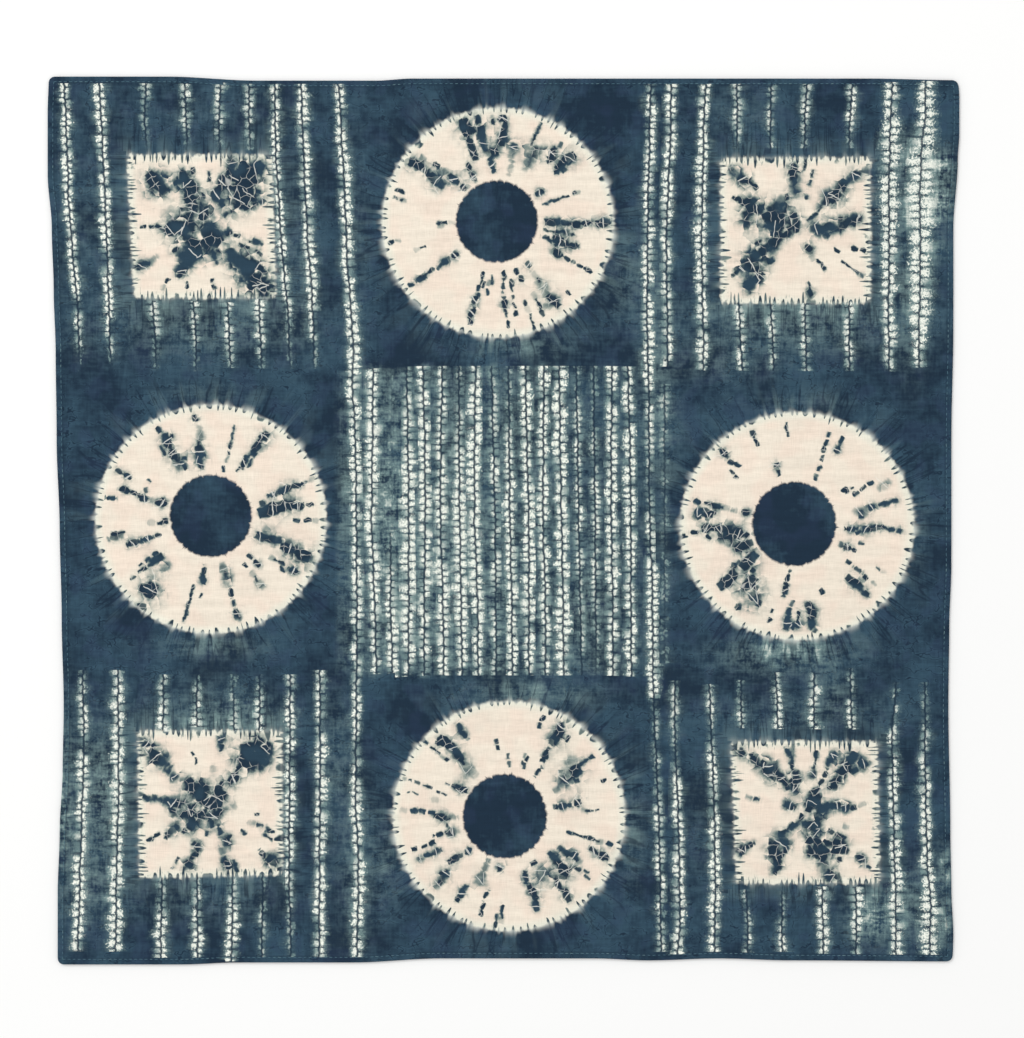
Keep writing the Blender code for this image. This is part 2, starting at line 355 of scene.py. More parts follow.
PANEL_PATCHES = named(
    SoftPatch,
    (-50, 0, 150, 260, 0.36), (-112, 10, 20, 135, 0.26), (-66, -40, 36, 90, 0.26),
    (88, -70, 26, 60, 0.16), (20, -95, 90, 45, 0.14), (-128, 60, 10, 70, 0.2),
)

GROUND_PATCHES = named(
    SoftPatch,
    # The rows either side of the middle panel.
    (148, 205, 14, 62, 0.26), (150, 95, 18, 50, 0.26), (-141, -330, 16, 70, 0.30),
    (-158, -220, 12, 60, 0.14), (-144, 260, 12, 110, 0.10),
    # Round the top left square.
    (-290, 188, 92, 28, 0.26), (-290, 395, 100, 26, 0.06), (-196, 270, 18, 90, 0.14),
    (-404, 280, 30, 90, 0.08),
    # Round the top right square, with pale clouds out to the hem.
    (285, 190, 100, 26, 0.32), (230, 395, 40, 26, 0.10), (420, 342, 14, 15, 0.90),
    (421, 306, 13, 17, 0.95), (392, 345, 12, 26, 0.60), (392, 296, 10, 16, 0.60),
    (418, 262, 11, 10, 0.55), (392, 225, 16, 60, 0.45), (213, 150, 50, 16, 0.16),
    # Round the bottom left square.
    (-425, -270, 10, 76, 0.60), (-388, -262, 22, 56, 0.50), (-392, -348, 24, 40, 0.28),
    (-278, -190, 66, 16, 0.28), (-250, -180, 24, 22, 0.12), (-170, -250, 12, 60, 0.14),
    (-290, -365, 76, 22, 0.14),
    # Round the bottom right square.
    (357, -383, 22, 20, 0.85), (270, -136, 60, 16, 0.24), (316, -165, 16, 22, 0.22),
    (426, -337, 8, 20, 0.70), (425, -387, 8, 22, 0.65), (290, -185, 90, 18, 0.14),
    (393, -370, 14, 34, 0.34), (190, -300, 12, 60, 0.08),
    # Pale halos that trail off the rings.
    (16, 168, 45, 12, 0.24), (118, 232, 22, 40, 0.14), (-110, 300, 12, 50, 0.05),
    (-284, -121, 48, 12, 0.22), (-300, -165, 60, 20, 0.08), (277, -124, 50, 13, 0.40),
    (-110, -328, 12, 42, 0.16), (124, -300, 12, 52, 0.16), (25, -166, 60, 12, 0.30),
    (-288, 122, 40, 10, 0.10), (284, 112, 50, 10, 0.10), (400, -10, 10, 40, 0.08),
)


def eased(stations: Sequence[EdgeStation], share: Points) -> Points:
    """How far an edge is drawn in at shares of its length, eased between stations.

    Args:
        stations: The edge's stations, in order of their shares.
        share: Shares of the edge's length, 0 to 1.

    Returns:
        The distances that the edge is drawn in, in metres.
    """
    shares = np.array([station.share for station in stations])
    depths = np.array([station.drawn_in for station in stations])
    after = np.clip(np.searchsorted(shares, share), 1, len(shares) - 1)
    run = shares[after] - shares[after - 1]
    t = np.clip((share - shares[after - 1]) / run, 0.0, 1.0)
    return depths[after - 1] + (depths[after] - depths[after - 1]) * t * t * (3.0 - 2.0 * t)


def smooth_step(low: float, high: float, value: Points) -> Points:
    """Eases from 0 at low to 1 at high."""
    t = np.clip((value - low) / (high - low), 0.0, 1.0)
    return t * t * (3.0 - 2.0 * t)


@dataclass(frozen=True)
class ClothOutline:
    """The cloth's uneven outline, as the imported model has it."""

    width: float = 0.880
    length: float = 0.857
    corner_radius: float = 0.006
    left: Sequence[EdgeStation] = LEFT_EDGE
    right: Sequence[EdgeStation] = RIGHT_EDGE
    bottom: Sequence[EdgeStation] = BOTTOM_EDGE
    top: Sequence[EdgeStation] = TOP_EDGE

    def place(self, u: Points, v: Points) -> tuple[Points, Points]:
        """Lays shares of a plain rectangle within the drawn-in edges.

        Args:
            u, v: Shares of the width from the left, and of the length from the bottom.

        Returns:
            The places x and y in metres.
        """
        u, v = self._rounded(u, v)
        left, right, bottom, top = self.sides(u, v)
        return left + (right - left) * u, bottom + (top - bottom) * v

    def sides(self, u: Points, v: Points) -> tuple[Points, Points, Points, Points]:
        """Where the four drawn-in edges lie.

        Args:
            u, v: Shares of the width from the left, and of the length from the bottom.

        Returns:
            The left and right edges' x, and the bottom and top edges' y, in metres.
        """
        return (
            -self.width / 2 + eased(self.left, v),
            self.width / 2 - eased(self.right, v),
            -self.length / 2 + eased(self.bottom, u),
            self.length / 2 - eased(self.top, u),
        )

    def _rounded(self, u: Points, v: Points) -> tuple[Points, Points]:
        """Draws the points of the four corners in to a quarter circle.

        Args:
            u, v: Shares of the width and length.

        Returns:
            The shares with those of the corners drawn in.
        """
        from_side = np.minimum(u, 1.0 - u) * self.width
        from_end = np.minimum(v, 1.0 - v) * self.length
        across = np.maximum(self.corner_radius - from_side, 0.0)
        along = np.maximum(self.corner_radius - from_end, 0.0)
        reach = np.hypot(across, along)
        keep = np.where(reach > 0.0, np.maximum(across, along) / np.maximum(reach, 1e-9), 1.0)
        side_step = np.where(across > 0.0, across * (1.0 - keep), 0.0) / self.width
        end_step = np.where(along > 0.0, along * (1.0 - keep), 0.0) / self.length
        u = u + np.where(u < 0.5, side_step, -side_step)
        v = v + np.where(v < 0.5, end_step, -end_step)
        return u, v


# Waves a metre across and along, and the phase of each wave.
RIPPLES = ((31.0, 17.0, 0.7), (-23.0, 41.0, 2.1), (67.0, 29.0, 4.0), (13.0, -71.0, 1.3))


@dataclass(frozen=True)
class Relief:
    """Height of the cloth's underside over the surface that it lies on."""

    swells: Sequence[Swell] = SWELLS
    ripple: float = 0.00035
    ridge: float = 0.00030
    ridge_pitch: float = 0.0166
    pleat: float = 0.00035
    pleats_round_ring: int = 44

    def height(self, x: Points, y: Points) -> Points:
        """Height at each place: the swells, with ridges, pleats and soft ripples on them.

        Args:
            x, y: Places across and along, in metres.

        Returns:
            The heights in metres.
        """
        heights = np.zeros_like(x)
        for swell in self.swells:
            across = np.hypot((x - swell.x) / swell.reach_x, (y - swell.y) / swell.reach_y)
            rise = swell.height * (0.5 + 0.5 * np.cos(np.pi * np.minimum(across, 1.0)))
            heights = np.maximum(heights, rise)
        return heights + self._ripples(x, y) + self._row_ridges(x, y) + self._ring_pleats(x, y)

    def _ripples(self, x: Points, y: Points) -> Points:
        """Low waves of no one direction, never below the surface."""
        waves = sum(np.sin(across * x + along * y + phase) for across, along, phase in RIPPLES)
        return self.ripple * (0.5 + waves / (2 * len(RIPPLES)))

    def _row_ridges(self, x: Points, y: Points) -> Points:
        """Rounded ridges between the close rows of the middle panel.

        Args:
            x, y: Places across and along, in metres.

        Returns:
            The ridges' heights.
        """
        inside = smooth_step(0.150, 0.132, np.abs(x)) * smooth_step(0.156, 0.140, np.abs(y))
        wave = 0.5 - 0.5 * np.cos(2.0 * np.pi * (x - 0.0235) / self.ridge_pitch)
        return self.ridge * inside * wave

    def _ring_pleats(self, x: Points, y: Points) -> Points:
        """Fine pleats that fan out round each ring, where it was drawn up.

        Args:
            x, y: Places across and along, in metres.

        Returns:
            The pleats' heights.
        """
        heights = np.zeros_like(x)
        for swell in self.swells[:4]:
            reach = np.hypot(x - swell.x, y - swell.y)
            angle = np.arctan2(y - swell.y, x - swell.x)
            band = smooth_step(0.060, 0.105, reach) * smooth_step(0.145, 0.115, reach)
            wave = 0.5 + 0.3 * np.sin(self.pleats_round_ring * angle)
            wave = wave + 0.2 * np.sin(27 * angle + 40.0 * reach)
            heights = heights + self.pleat * band * wave
        return heights


class Marks:
    """Straight tapered marks of one kind, as arrays in millimetres from the cloth's middle."""

    TAPER = 0.35

    def __init__(self, marks: Sequence[Stroke], middle_x: float = 0.0, middle_y: float = 0.0) -> None:
        """Works out the marks' middles, directions and sizes.

        Args:
            marks: The strokes, from the motif's middle.
            middle_x, middle_y: Where the motif's middle lies.
        """
        table = np.array([tuple(mark) for mark in marks], dtype=float)
        start, end = table[:, 0:2], table[:, 2:4]
        span = np.hypot(*(end - start).T)
        self.middle = (start + end) / 2 + np.array([middle_x, middle_y])
        self.direction = (end - start) / np.maximum(span, 1e-6)[:, None]
        self.half_width = table[:, 4] / 2
        self.half_length = span / 2 + self.half_width * 0.5
        self.tone = table[:, 5]

    def nearest(self, x: Points, y: Points, count: int) -> Points:
        """Finds the marks nearest to each place.

        Args:
            x, y: Places across and along.
            count: How many marks each place gets.

        Returns:
            Their numbers, as an array of (places, count).
        """
        everyone = np.arange(len(self.tone))
        along, across, taper = self.place(x[:, None], y[:, None], everyone)
        over_x = np.abs(along) - self.half_length
        over_y = np.abs(across) + taper - self.half_width
        gap = np.hypot(np.maximum(over_x, 0.0), np.maximum(over_y, 0.0))
        gap = gap + np.minimum(np.maximum(over_x, over_y), 0.0)
        return np.argsort(gap, axis=1)[:, :count]

    def place(self, x: Points, y: Points, chosen: Points) -> tuple[Points, Points, Points]:
        """Measures each place from the middle of its mark.

        Args:
            x, y: Places across and along.
            chosen: The number of each place's mark.

        Returns:
            How far along and across the mark it lies, and how far the mark has tapered there.
        """
        away_x, away_y = x - self.middle[chosen, 0], y - self.middle[chosen, 1]
        way_x, way_y = self.direction[chosen, 0], self.direction[chosen, 1]
        along = away_x * way_x + away_y * way_y
        across = away_y * way_x - away_x * way_y
        share = np.clip(along / (self.half_length[chosen] + 1.0), -1.3, 1.3)
        return along, across, share**2 * self.half_width[chosen] * self.TAPER

    def size(self, chosen: Points) -> Points:
        """Half length, half width and tone of the chosen marks."""
        return np.column_stack([self.half_length[chosen], self.half_width[chosen], self.tone[chosen]])


@dataclass(frozen=True)
class Motif:
    """A pale motif that was bound against the dye, in millimetres."""

    name: str
    x: float
    y: float
    folds: Sequence[Fold]
    slight_reach: tuple[float, float] = (50.0, 96.0)
    haze: float = 0.36

    def edge(self, x: Points, y: Points) -> Points:
        """Distance into the motif from its outline, negative outside."""
        raise NotImplementedError

    def along(self, x: Points, y: Points, side_x: Points, side_y: Points) -> Points:
        """Distance round the outline at x and y, counted on the side nearest to side_x, side_y."""
        raise NotImplementedError

    def from_disc(self, x: Points, y: Points) -> Points:
        """Distance out from the dark disc in the middle, or far away if there is none."""
        return np.full_like(x, FAR_AWAY)


@dataclass(frozen=True)
class Ring(Motif):
    """A ring with a dark disc in its middle."""

    reach_x: float = 111.0
    reach_y: float = 110.0
    disc_x: float = 0.0
    disc_y: float = 0.0
    disc_reach: float = 39.5

    def edge(self, x: Points, y: Points) -> Points:
        """Distance into the ring from its outer edge."""
        share = np.hypot((x - self.x) / self.reach_x, (y - self.y) / self.reach_y)
        return (1.0 - share) * (self.reach_x + self.reach_y) / 2

    def along(self, x: Points, y: Points, side_x: Points, side_y: Points) -> Points:
        """Distance round the ring, unbroken within a face.

        Args:
            x, y: Places across and along.
            side_x, side_y: Middles of their faces.

        Returns:
            The distances from the ring's right-hand side.
        """
        angle = np.arctan2(y - self.y, x - self.x)
        near = np.arctan2(side_y - self.y, side_x - self.x)
        turn = 2.0 * np.pi
        angle = near + (angle - near + np.pi) % turn - np.pi
        return angle * self.reach_x

    def from_disc(self, x: Points, y: Points) -> Points:
        """Distance out from the dark disc."""
        return np.hypot(x - self.x - self.disc_x, y - self.y - self.disc_y) - self.disc_reach


@dataclass(frozen=True)
class Square(Motif):
    """A square with four straight sides, each a little off true.

    Each side is given by its distance from the middle and by how far that distance
    grows over 100 mm of x or y.
    """

    left: tuple[float, float] = (71.0, 0.0)
    right: tuple[float, float] = (70.0, 0.0)
    bottom: tuple[float, float] = (68.0, 0.0)
    top: tuple[float, float] = (70.0, 0.0)
    corner: float = 4.0
    slight_reach: tuple[float, float] = (12.0, 62.0)
    haze: float = 0.62
    side_step: float = 163.0

    def _gaps(self, x: Points, y: Points) -> list[Points]:
        """Distances in from the left, right, bottom and top sides."""
        dx, dy = x - self.x, y - self.y
        return [
            dx + self.left[0] + self.left[1] * dy / 100,
            self.right[0] + self.right[1] * dy / 100 - dx,
            dy + self.bottom[0] + self.bottom[1] * dx / 100,
            self.top[0] + self.top[1] * dx / 100 - dy,
        ]

    def edge(self, x: Points, y: Points) -> Points:
        """Distance into the square from its nearest side, with the corners rounded.

        Args:
            x, y: Places across and along.

        Returns:
            The distances, negative outside.
        """
        left, right, bottom, top = self._gaps(x, y)
        across, along = np.minimum(left, right), np.minimum(bottom, top)
        short_x = np.maximum(self.corner - across, 0.0)
        short_y = np.maximum(self.corner - along, 0.0)
        at_corner = (short_x > 0.0) & (short_y > 0.0)
        return np.where(at_corner, self.corner - np.hypot(short_x, short_y), np.minimum(across, along))

    def along(self, x: Points, y: Points, side_x: Points, side_y: Points) -> Points:
        """Distance along the side that is nearest to side_x, side_y.

        Args:
            x, y: Places across and along.
            side_x, side_y: Middles of their faces.

        Returns:
            The distances, with each side's own start.
        """
        side = np.argmin(np.stack(self._gaps(side_x, side_y)), axis=0)
        run = np.where(side < 2, y - self.y, x - self.x)
        return run + side * self.side_step


MOTIFS = (
    Ring("top_ring", -5.3, 287.4, TOP_RING_FOLDS, disc_x=-1.0, disc_y=1.0),
    Ring("left_ring", -282.5, 1.4, LEFT_RING_FOLDS, reach_x=110.5, reach_y=109.5, disc_x=0.0, disc_y=3.0),
    Ring("right_ring", 283.5, -5.3, RIGHT_RING_FOLDS, reach_x=112.0, reach_y=109.0,
         disc_x=-3.0, disc_y=2.0, disc_reach=40.5),
    Ring("bottom_ring", 5.3, -285.4, BOTTOM_RING_FOLDS, disc_x=-4.0, disc_y=0.0, disc_reach=40.5),
    Square("top_left_square", -289.3, 282.5, TOP_LEFT_SQUARE_FOLDS,
           left=(70.0, 5.0), right=(67.0, -3.0), bottom=(67.0, 0.0), top=(70.0, 0.0)),
    Square("top_right_square", 283.5, 280.6, TOP_RIGHT_SQUARE_FOLDS,
           left=(73.0, 0.0), right=(70.0, 0.0), bottom=(70.0, 0.0), top=(69.0, 0.5)),
    Square("bottom_left_square", -280.6, -275.8, BOTTOM_LEFT_SQUARE_FOLDS,
           left=(71.0, 1.0), right=(66.5, -1.0), bottom=(67.0, -2.0), top=(72.0, 0.0)),
    Square("bottom_right_square", 290.3, -280.6, BOTTOM_RIGHT_SQUARE_FOLDS,
           left=(67.5, 4.0), right=(71.0, -2.0), bottom=(69.0, 0.0), top=(66.5, 0.0)),
)


class DyeCreep:
    """The blots, pale creases and soft smudges that dye leaves along a motif's folds."""

    SLIGHT_FOLDS = 14
    SOLID_SHARE = 0.85
    NECK_SHARE = 0.4
    CREASED_SHARE = 0.6
    WIDE_BLOT = 4.2
    SIDE_BLOT_EVERY = 5.5

    def __init__(self, folds: Sequence[Fold], reach: tuple[float, float], haze: float, seed: int) -> None:
        """Follows each of the motif's folds, then a few slight ones between them.

        Args:
            folds: The motif's folds.
            reach: Distances from the middle that the slight folds lie between.
            haze: How dark the smudges round the wide blots are.
            seed: Seed of the random draws.
        """
        self.haze = haze
        self.draw = np.random.default_rng(seed)
        self.blots: list[Stroke] = []
        self.creases: list[Stroke] = []
        self.smudges: list[SoftPatch] = []
        for fold in folds:
            self._follow(fold)
        for _ in range(self.SLIGHT_FOLDS):
            bearing, inner = self.draw.uniform(0.0, 360.0), self.draw.uniform(*reach)
            width = self.draw.uniform(1.6, 3.6)
            self._follow(Fold(bearing, inner, inner + self.draw.uniform(2.0, 16.0), width))

    def _follow(self, fold: Fold) -> None:
        """Strings blots along a fold, joined here and there by a thin neck.

        Args:
            fold: The fold to follow.
        """
        draw = self.draw
        bearing = math.radians(fold.bearing)
        way = np.array([math.cos(bearing), math.sin(bearing)])
        side = np.array([-way[1], way[0]])
        reach, sway, last = fold.inner, draw.normal(0.0, 0.15) * fold.width, None
        while reach < fold.outer - 1.0:
            width = fold.width * draw.uniform(0.55, 1.25)
            length = min(draw.uniform(0.5, 2.1) * fold.width + 0.8, fold.outer - reach)
            start = way * reach + side * sway
            end = start + way * length + side * draw.normal(0.0, 0.14) * length
            tone = 1.0 if draw.random() < self.SOLID_SHARE else draw.uniform(0.3, 0.6)
            self.blots.append(Stroke(*start, *end, width, tone))
            if last is not None and draw.random() < self.NECK_SHARE:
                self.blots.append(Stroke(*last, *start, 0.7 + 0.12 * width, 0.95))
            if width > self.WIDE_BLOT:
                self._crumple((start + end) / 2, bearing, width)
            last = end
            reach += length + draw.uniform(1.8, 0.5 * fold.width + 4.0)
            sway = sway + draw.normal(0.0, 0.16) * fold.width
            sway = np.clip(sway, -0.5 * fold.width, 0.5 * fold.width)

    def _crumple(self, middle: Points, bearing: float, width: float) -> None:
        """Lays a smudge round a wide blot, side blots next to it and pale creases across it.

        Args:
            middle: The blot's middle.
            bearing: The fold's bearing, in radians.
            width: The blot's width.
        """
        draw = self.draw
        self.smudges.append(SoftPatch(*middle, 1.4 * width, 1.4 * width, self.haze * draw.uniform(0.5, 1.2)))
        for _ in range(int(width / self.SIDE_BLOT_EVERY)):
            aside = middle + draw.normal(0.0, 0.75, 2) * width
            tone = 1.0 if draw.random() < 0.6 else draw.uniform(0.25, 0.5)
            end = aside + draw.normal(0.0, 0.25, 2) * width
            self.blots.append(Stroke(*aside, *end, 0.5 * width, tone))
        if draw.random() < self.CREASED_SHARE:
            turn = bearing + draw.uniform(0.9, 2.2)
            half = (0.5 * width + 1.5) * np.array([math.cos(turn), math.sin(turn)])
            self.creases.append(Stroke(*(middle - half), *(middle + half), draw.uniform(0.6, 0.9), 0.9))
            bend = middle + half + draw.normal(0.0, 0.8, 2) * width
            self.creases.append(Stroke(*(middle + half), *bend, draw.uniform(0.5, 0.8), 0.9))


# The height and length of each wave, and how far it shifts from number to number.
UNEVEN_WAVES = ((0.6, 9.3, 2.1), (0.45, 4.9, 4.3), (0.3, 2.7, 1.7))


def uneven_wave(along: Points, number: float) -> Points:
    """A soft wave along a line, about 1 either way, that differs from number to number."""
    return sum(high * np.sin(along / length + shift * number) for high, length, shift in UNEVEN_WAVES)


@dataclass
class Row:
    """A stitched row: mirrored pairs of dots either side of a fold."""

    number: int
    stations: Sequence[RowStation]
    overrun: float = 1.5
    least_pitch: float = 4.8
    pitch_growth: float = 5.0

    def __post_init__(self) -> None:
        """Sorts the stations from the foot of the row up."""
        self.stations = sorted(RowStation(*station) for station in self.stations)

    @property
    def lowest(self) -> float:
        """Height of the row's foot."""
        return self.stations[0].y - self.overrun

    @property
    def highest(self) -> float:
        """Height of the row's head."""
        return self.stations[-1].y + self.overrun

    @property
    def pitch(self) -> float:
        """Distance from dot to dot, larger in a stronger row."""
        mean = sum(station.strength for station in self.stations) / len(self.stations)
        return self.least_pitch + self.pitch_growth * min(mean / 10.0, 1.0)

    def beat(self, y: Points) -> Points:
        """Count of stitches up to heights y, now closer and now wider apart."""
        return y / self.pitch + 0.37 * self.number + 0.32 * uneven_wave(0.7 * y, self.number + 0.5)

    def line(self, y: Points) -> tuple[Points, Points, Points]:
        """The row's line at heights y.

        Args:
            y: Heights in millimetres.

        Returns:
            The line as x = offset + slope * y, and the strength there, 0 to 1.
        """
        heights = np.array([station.y for station in self.stations])
        across = np.array([station.x for station in self.stations])
        strength = np.array([station.strength for station in self.stations]) / 10.0
        after = np.clip(np.searchsorted(heights, y), 1, len(heights) - 1)
        slope = (across[after] - across[after - 1]) / (heights[after] - heights[after - 1])
        offset = across[after] - slope * heights[after]
        return offset, slope, np.interp(y, heights, strength)


@dataclass
class MarkLayer:
    """One mark for each face: where the face's corners lie along and across it, and its size."""

    name: str
    place: Points
    size: Points

    @classmethod
    def blank(cls, name: str, faces: int, corners: int) -> "MarkLayer":
        """A layer whose marks all lie far away."""
        return cls(name, np.full((corners, 3), FAR_AWAY), np.ones((faces, 3)))

    def write(self, mesh: bpy.types.Mesh) -> None:
        """Writes the layer on a mesh."""
        write_layer(mesh, self.name + "_place", Domain.CORNER, self.place)
        write_layer(mesh, self.name + "_size", Domain.FACE, self.size)


@dataclass
class DyeChart:
    """Every mark of dye on the cloth, and the layers that they make on a mesh."""

    motifs: Sequence[Motif] = MOTIFS
    row_tables: Sequence[Sequence] = (
        ROWS_TOP_LEFT, ROWS_BOTTOM_LEFT, ROWS_MIDDLE, ROWS_TOP_RIGHT, ROWS_BOTTOM_RIGHT,
    )
    patches: Sequence[SoftPatch] = GROUND_PATCHES
    panel_patches: Sequence[SoftPatch] = PANEL_PATCHES
    panel_half_width: float = 160.0
    panel_half_length: float = 147.0
    row_reach: float = 18.0
    blot_reach: float = 8.0
    idle_pitch: float = 5.5
    outline_floor: float = -60.0
    motif_step: float = 800.0
    seed: int = 7

    def __post_init__(self) -> None:
        """Draws the dye that crept into each motif."""
        self.creep = [
            DyeCreep(motif.folds, motif.slight_reach, motif.haze, self.seed + index)
            for index, motif in enumerate(self.motifs)
        ]

    def rows(self) -> list[Row]:
        """The rows, numbered through all panels."""
        tables = [stations for table in self.row_tables for stations in table]
        return [Row(number, stations) for number, stations in enumerate(tables)]

    def clouds(self, x: Points, y: Points) -> Points:
        """Adds up the soft pale patches of the dyed ground.

        Args:
            x, y: Places across and along.

        Returns:
            How pale the ground is at each place.
        """
        ragged = 3.0 * np.sin(x / 9.0) + 2.0 * np.sin(x / 3.7 + 1.0)
        beyond = np.maximum(abs(x) - self.panel_half_width, abs(y) - self.panel_half_length + ragged)
        in_panel = 1.0 - smooth_step(-4.0, 4.0, beyond)
        ground = sum(patch.over(x, y) for patch in self.patches)
        return ground + in_panel * sum(patch.over(x, y) for patch in self.panel_patches)

    def nearest_row(self, x: Points, y: Points) -> Points:
        """Finds the row that each place lies by.

        Args:
            x, y: Places across and along.

        Returns:
            The rows' numbers, or -1 where none is near.
        """
        number = np.full(len(x), -1)
        nearest = np.full(len(x), self.row_reach)
        for row in self.rows():
            offset, slope, _ = row.line(y)
            gap = np.abs(x - offset - slope * y)
            chosen = (y > row.lowest) & (y < row.highest) & (gap < nearest)
            nearest[chosen] = gap[chosen]
            number[chosen] = row.number
        return number

    def row_layers(self, number: Points, y: Points) -> tuple[Points, Points]:
        """Works out the layers that draw the stitched rows.

        Args:
            number: The row of each place.
            y: The height of each place.

        Returns:
            The rows' lines there, and their strength, count of stitches and pitch.
        """
        line, dye = np.zeros((2, len(y), 3))
        line[:, 0] = FAR_AWAY
        dye[:, 2] = self.idle_pitch
        for row in self.rows():
            own = number == row.number
            offset, slope, strength = row.line(y[own])
            line[own, 0] = offset - 0.4 * uneven_wave(y[own], row.number)
            line[own, 1], line[own, 2] = slope, row.number
            dye[own, 0], dye[own, 1], dye[own, 2] = strength, row.beat(y[own]), row.pitch
        return line, dye

    def nearest_motif(self, x: Points, y: Points) -> Points:
        """Number of the motif that each place lies in or nearest to."""
        return np.argmax(np.stack([motif.edge(x, y) for motif in self.motifs]), axis=0)

    def smudges(self, x: Points, y: Points) -> Points:
        """Joins the soft smudges of the motif that each place lies nearest to.

        Args:
            x, y: Places across and along.

        Returns:
            How much dye has crept in at each place, 0 to 1.
        """
        number = self.nearest_motif(x, y)
        clear = np.ones_like(x)
        for index, motif in enumerate(self.motifs):
            own = number == index
            for patch in self.creep[index].smudges:
                clear[own] *= 1.0 - patch.over(x[own] - motif.x, y[own] - motif.y)
        return 1.0 - clear

    def outline_layer(self, x: Points, y: Points, side_x: Points, side_y: Points) -> Points:
        """Distances from the nearest motif's edge, round it and from its disc.

        Args:
            x, y: Places of the corners.
            side_x, side_y: Middles of the corners' faces.

        Returns:
            An array of (corners, 3).
        """
        number = self.nearest_motif(side_x, side_y)
        layer = np.zeros((len(x), 3))
        for index, motif in enumerate(self.motifs):
            own = number == index
            places = x[own], y[own]
            layer[own, 0] = np.maximum(motif.edge(*places), self.outline_floor)
            along = motif.along(*places, side_x[own], side_y[own])
            layer[own, 1] = along + 4.0 * uneven_wave(along, index) + self.motif_step * index
            layer[own, 2] = motif.from_disc(*places)
        return layer

    def mark_layers(self, faces: Points, corners: Points, face_of_corner: Points) -> list[MarkLayer]:
        """The blots and creases nearest to each face.

        Args:
            faces: The faces' middles, in millimetres.
            corners: The face corners' places, in millimetres.
            face_of_corner: The face of each corner.

        Returns:
            The layers, one for each kind and slot.
        """
        x, y = faces[:, 0], faces[:, 1]
        edges = np.stack([motif.edge(x, y) for motif in self.motifs])
        number = np.where(edges.max(axis=0) > -self.blot_reach, edges.argmax(axis=0), -1)
        layers = []
        for kind, slots in ((Layer.BLOT, BLOTS_A_FACE), (Layer.CREASE, CREASES_A_FACE)):
            fresh = [MarkLayer.blank(f"{kind.value}_{slot}", len(x), len(corners)) for slot in range(slots)]
            for index, motif in enumerate(self.motifs):
                creep = self.creep[index]
                strokes = creep.blots if kind is Layer.BLOT else creep.creases
                own = np.flatnonzero(number == index)
                if strokes and len(own):
                    marks = Marks(strokes, motif.x, motif.y)
                    order = np.zeros((len(x), slots), dtype=int)
                    order[own] = marks.nearest(x[own], y[own], slots)
                    own_corners = np.flatnonzero(number[face_of_corner] == index)
                    for slot, layer in enumerate(fresh):
                        layer.size[own] = marks.size(order[own, slot])
                        chosen = order[face_of_corner[own_corners], slot]
                        places = corners[own_corners, 0], corners[own_corners, 1]
                        layer.place[own_corners] = np.column_stack(marks.place(*places, chosen))
            layers += fresh
        return layers


Value = Union["Wire", float, tuple]
VALUE_OPERATIONS = ("DOT_PRODUCT", "LENGTH")


def node_operator(operation: str, swapped: bool = False) -> Callable[..., "Wire"]:
    """Makes a wire's method that adds a Math node.

    Args:
        operation: The node's operation.
        swapped: Whether the other value comes first.

    Returns:
        The method, which takes the operation's other value if it has one.
    """

    def method(wire: "Wire", *others: Value) -> "Wire":
        """Adds the node."""
        values = (wire, *others)
        return wire.sheet.math(operation, *(reversed(values) if swapped else values))

    return method


class Wire:
    """A value, vector or colour in a node tree; arithmetic on it adds nodes."""

    def __init__(self, sheet: "NodeSheet", socket: bpy.types.NodeSocket) -> None:
        """Holds a socket and the sheet that it lies on."""
        self.sheet = sheet
        self.socket = socket

    __add__ = node_operator("ADD")
    __radd__ = node_operator("ADD", swapped=True)
    __sub__ = node_operator("SUBTRACT")
    __rsub__ = node_operator("SUBTRACT", swapped=True)
    __mul__ = node_operator("MULTIPLY")
    __rmul__ = node_operator("MULTIPLY", swapped=True)
    __truediv__ = node_operator("DIVIDE")
    __abs__ = node_operator("ABSOLUTE")
    most = node_operator("MAXIMUM")
    least = node_operator("MINIMUM")
    floor = node_operator("FLOOR")
    sign = node_operator("SIGN")

    def held(self) -> "Wire":
        """Held between 0 and 1."""
        return self.most(0.0).least(1.0)

    def ramp(self, low: Value, high: Value) -> "Wire":
        """Eases from one value to another.

        Args:
            low: Where the result is 0; it may be the larger.
            high: Where the result is 1.

        Returns:
            The eased value.
        """
        node = self.sheet.node("ShaderNodeMapRange", interpolation_type="SMOOTHSTEP")
        for socket, value in zip(node.inputs[:3], (self, low, high)):
            self.sheet.feed(socket, value)
        return Wire(self.sheet, node.outputs[0])


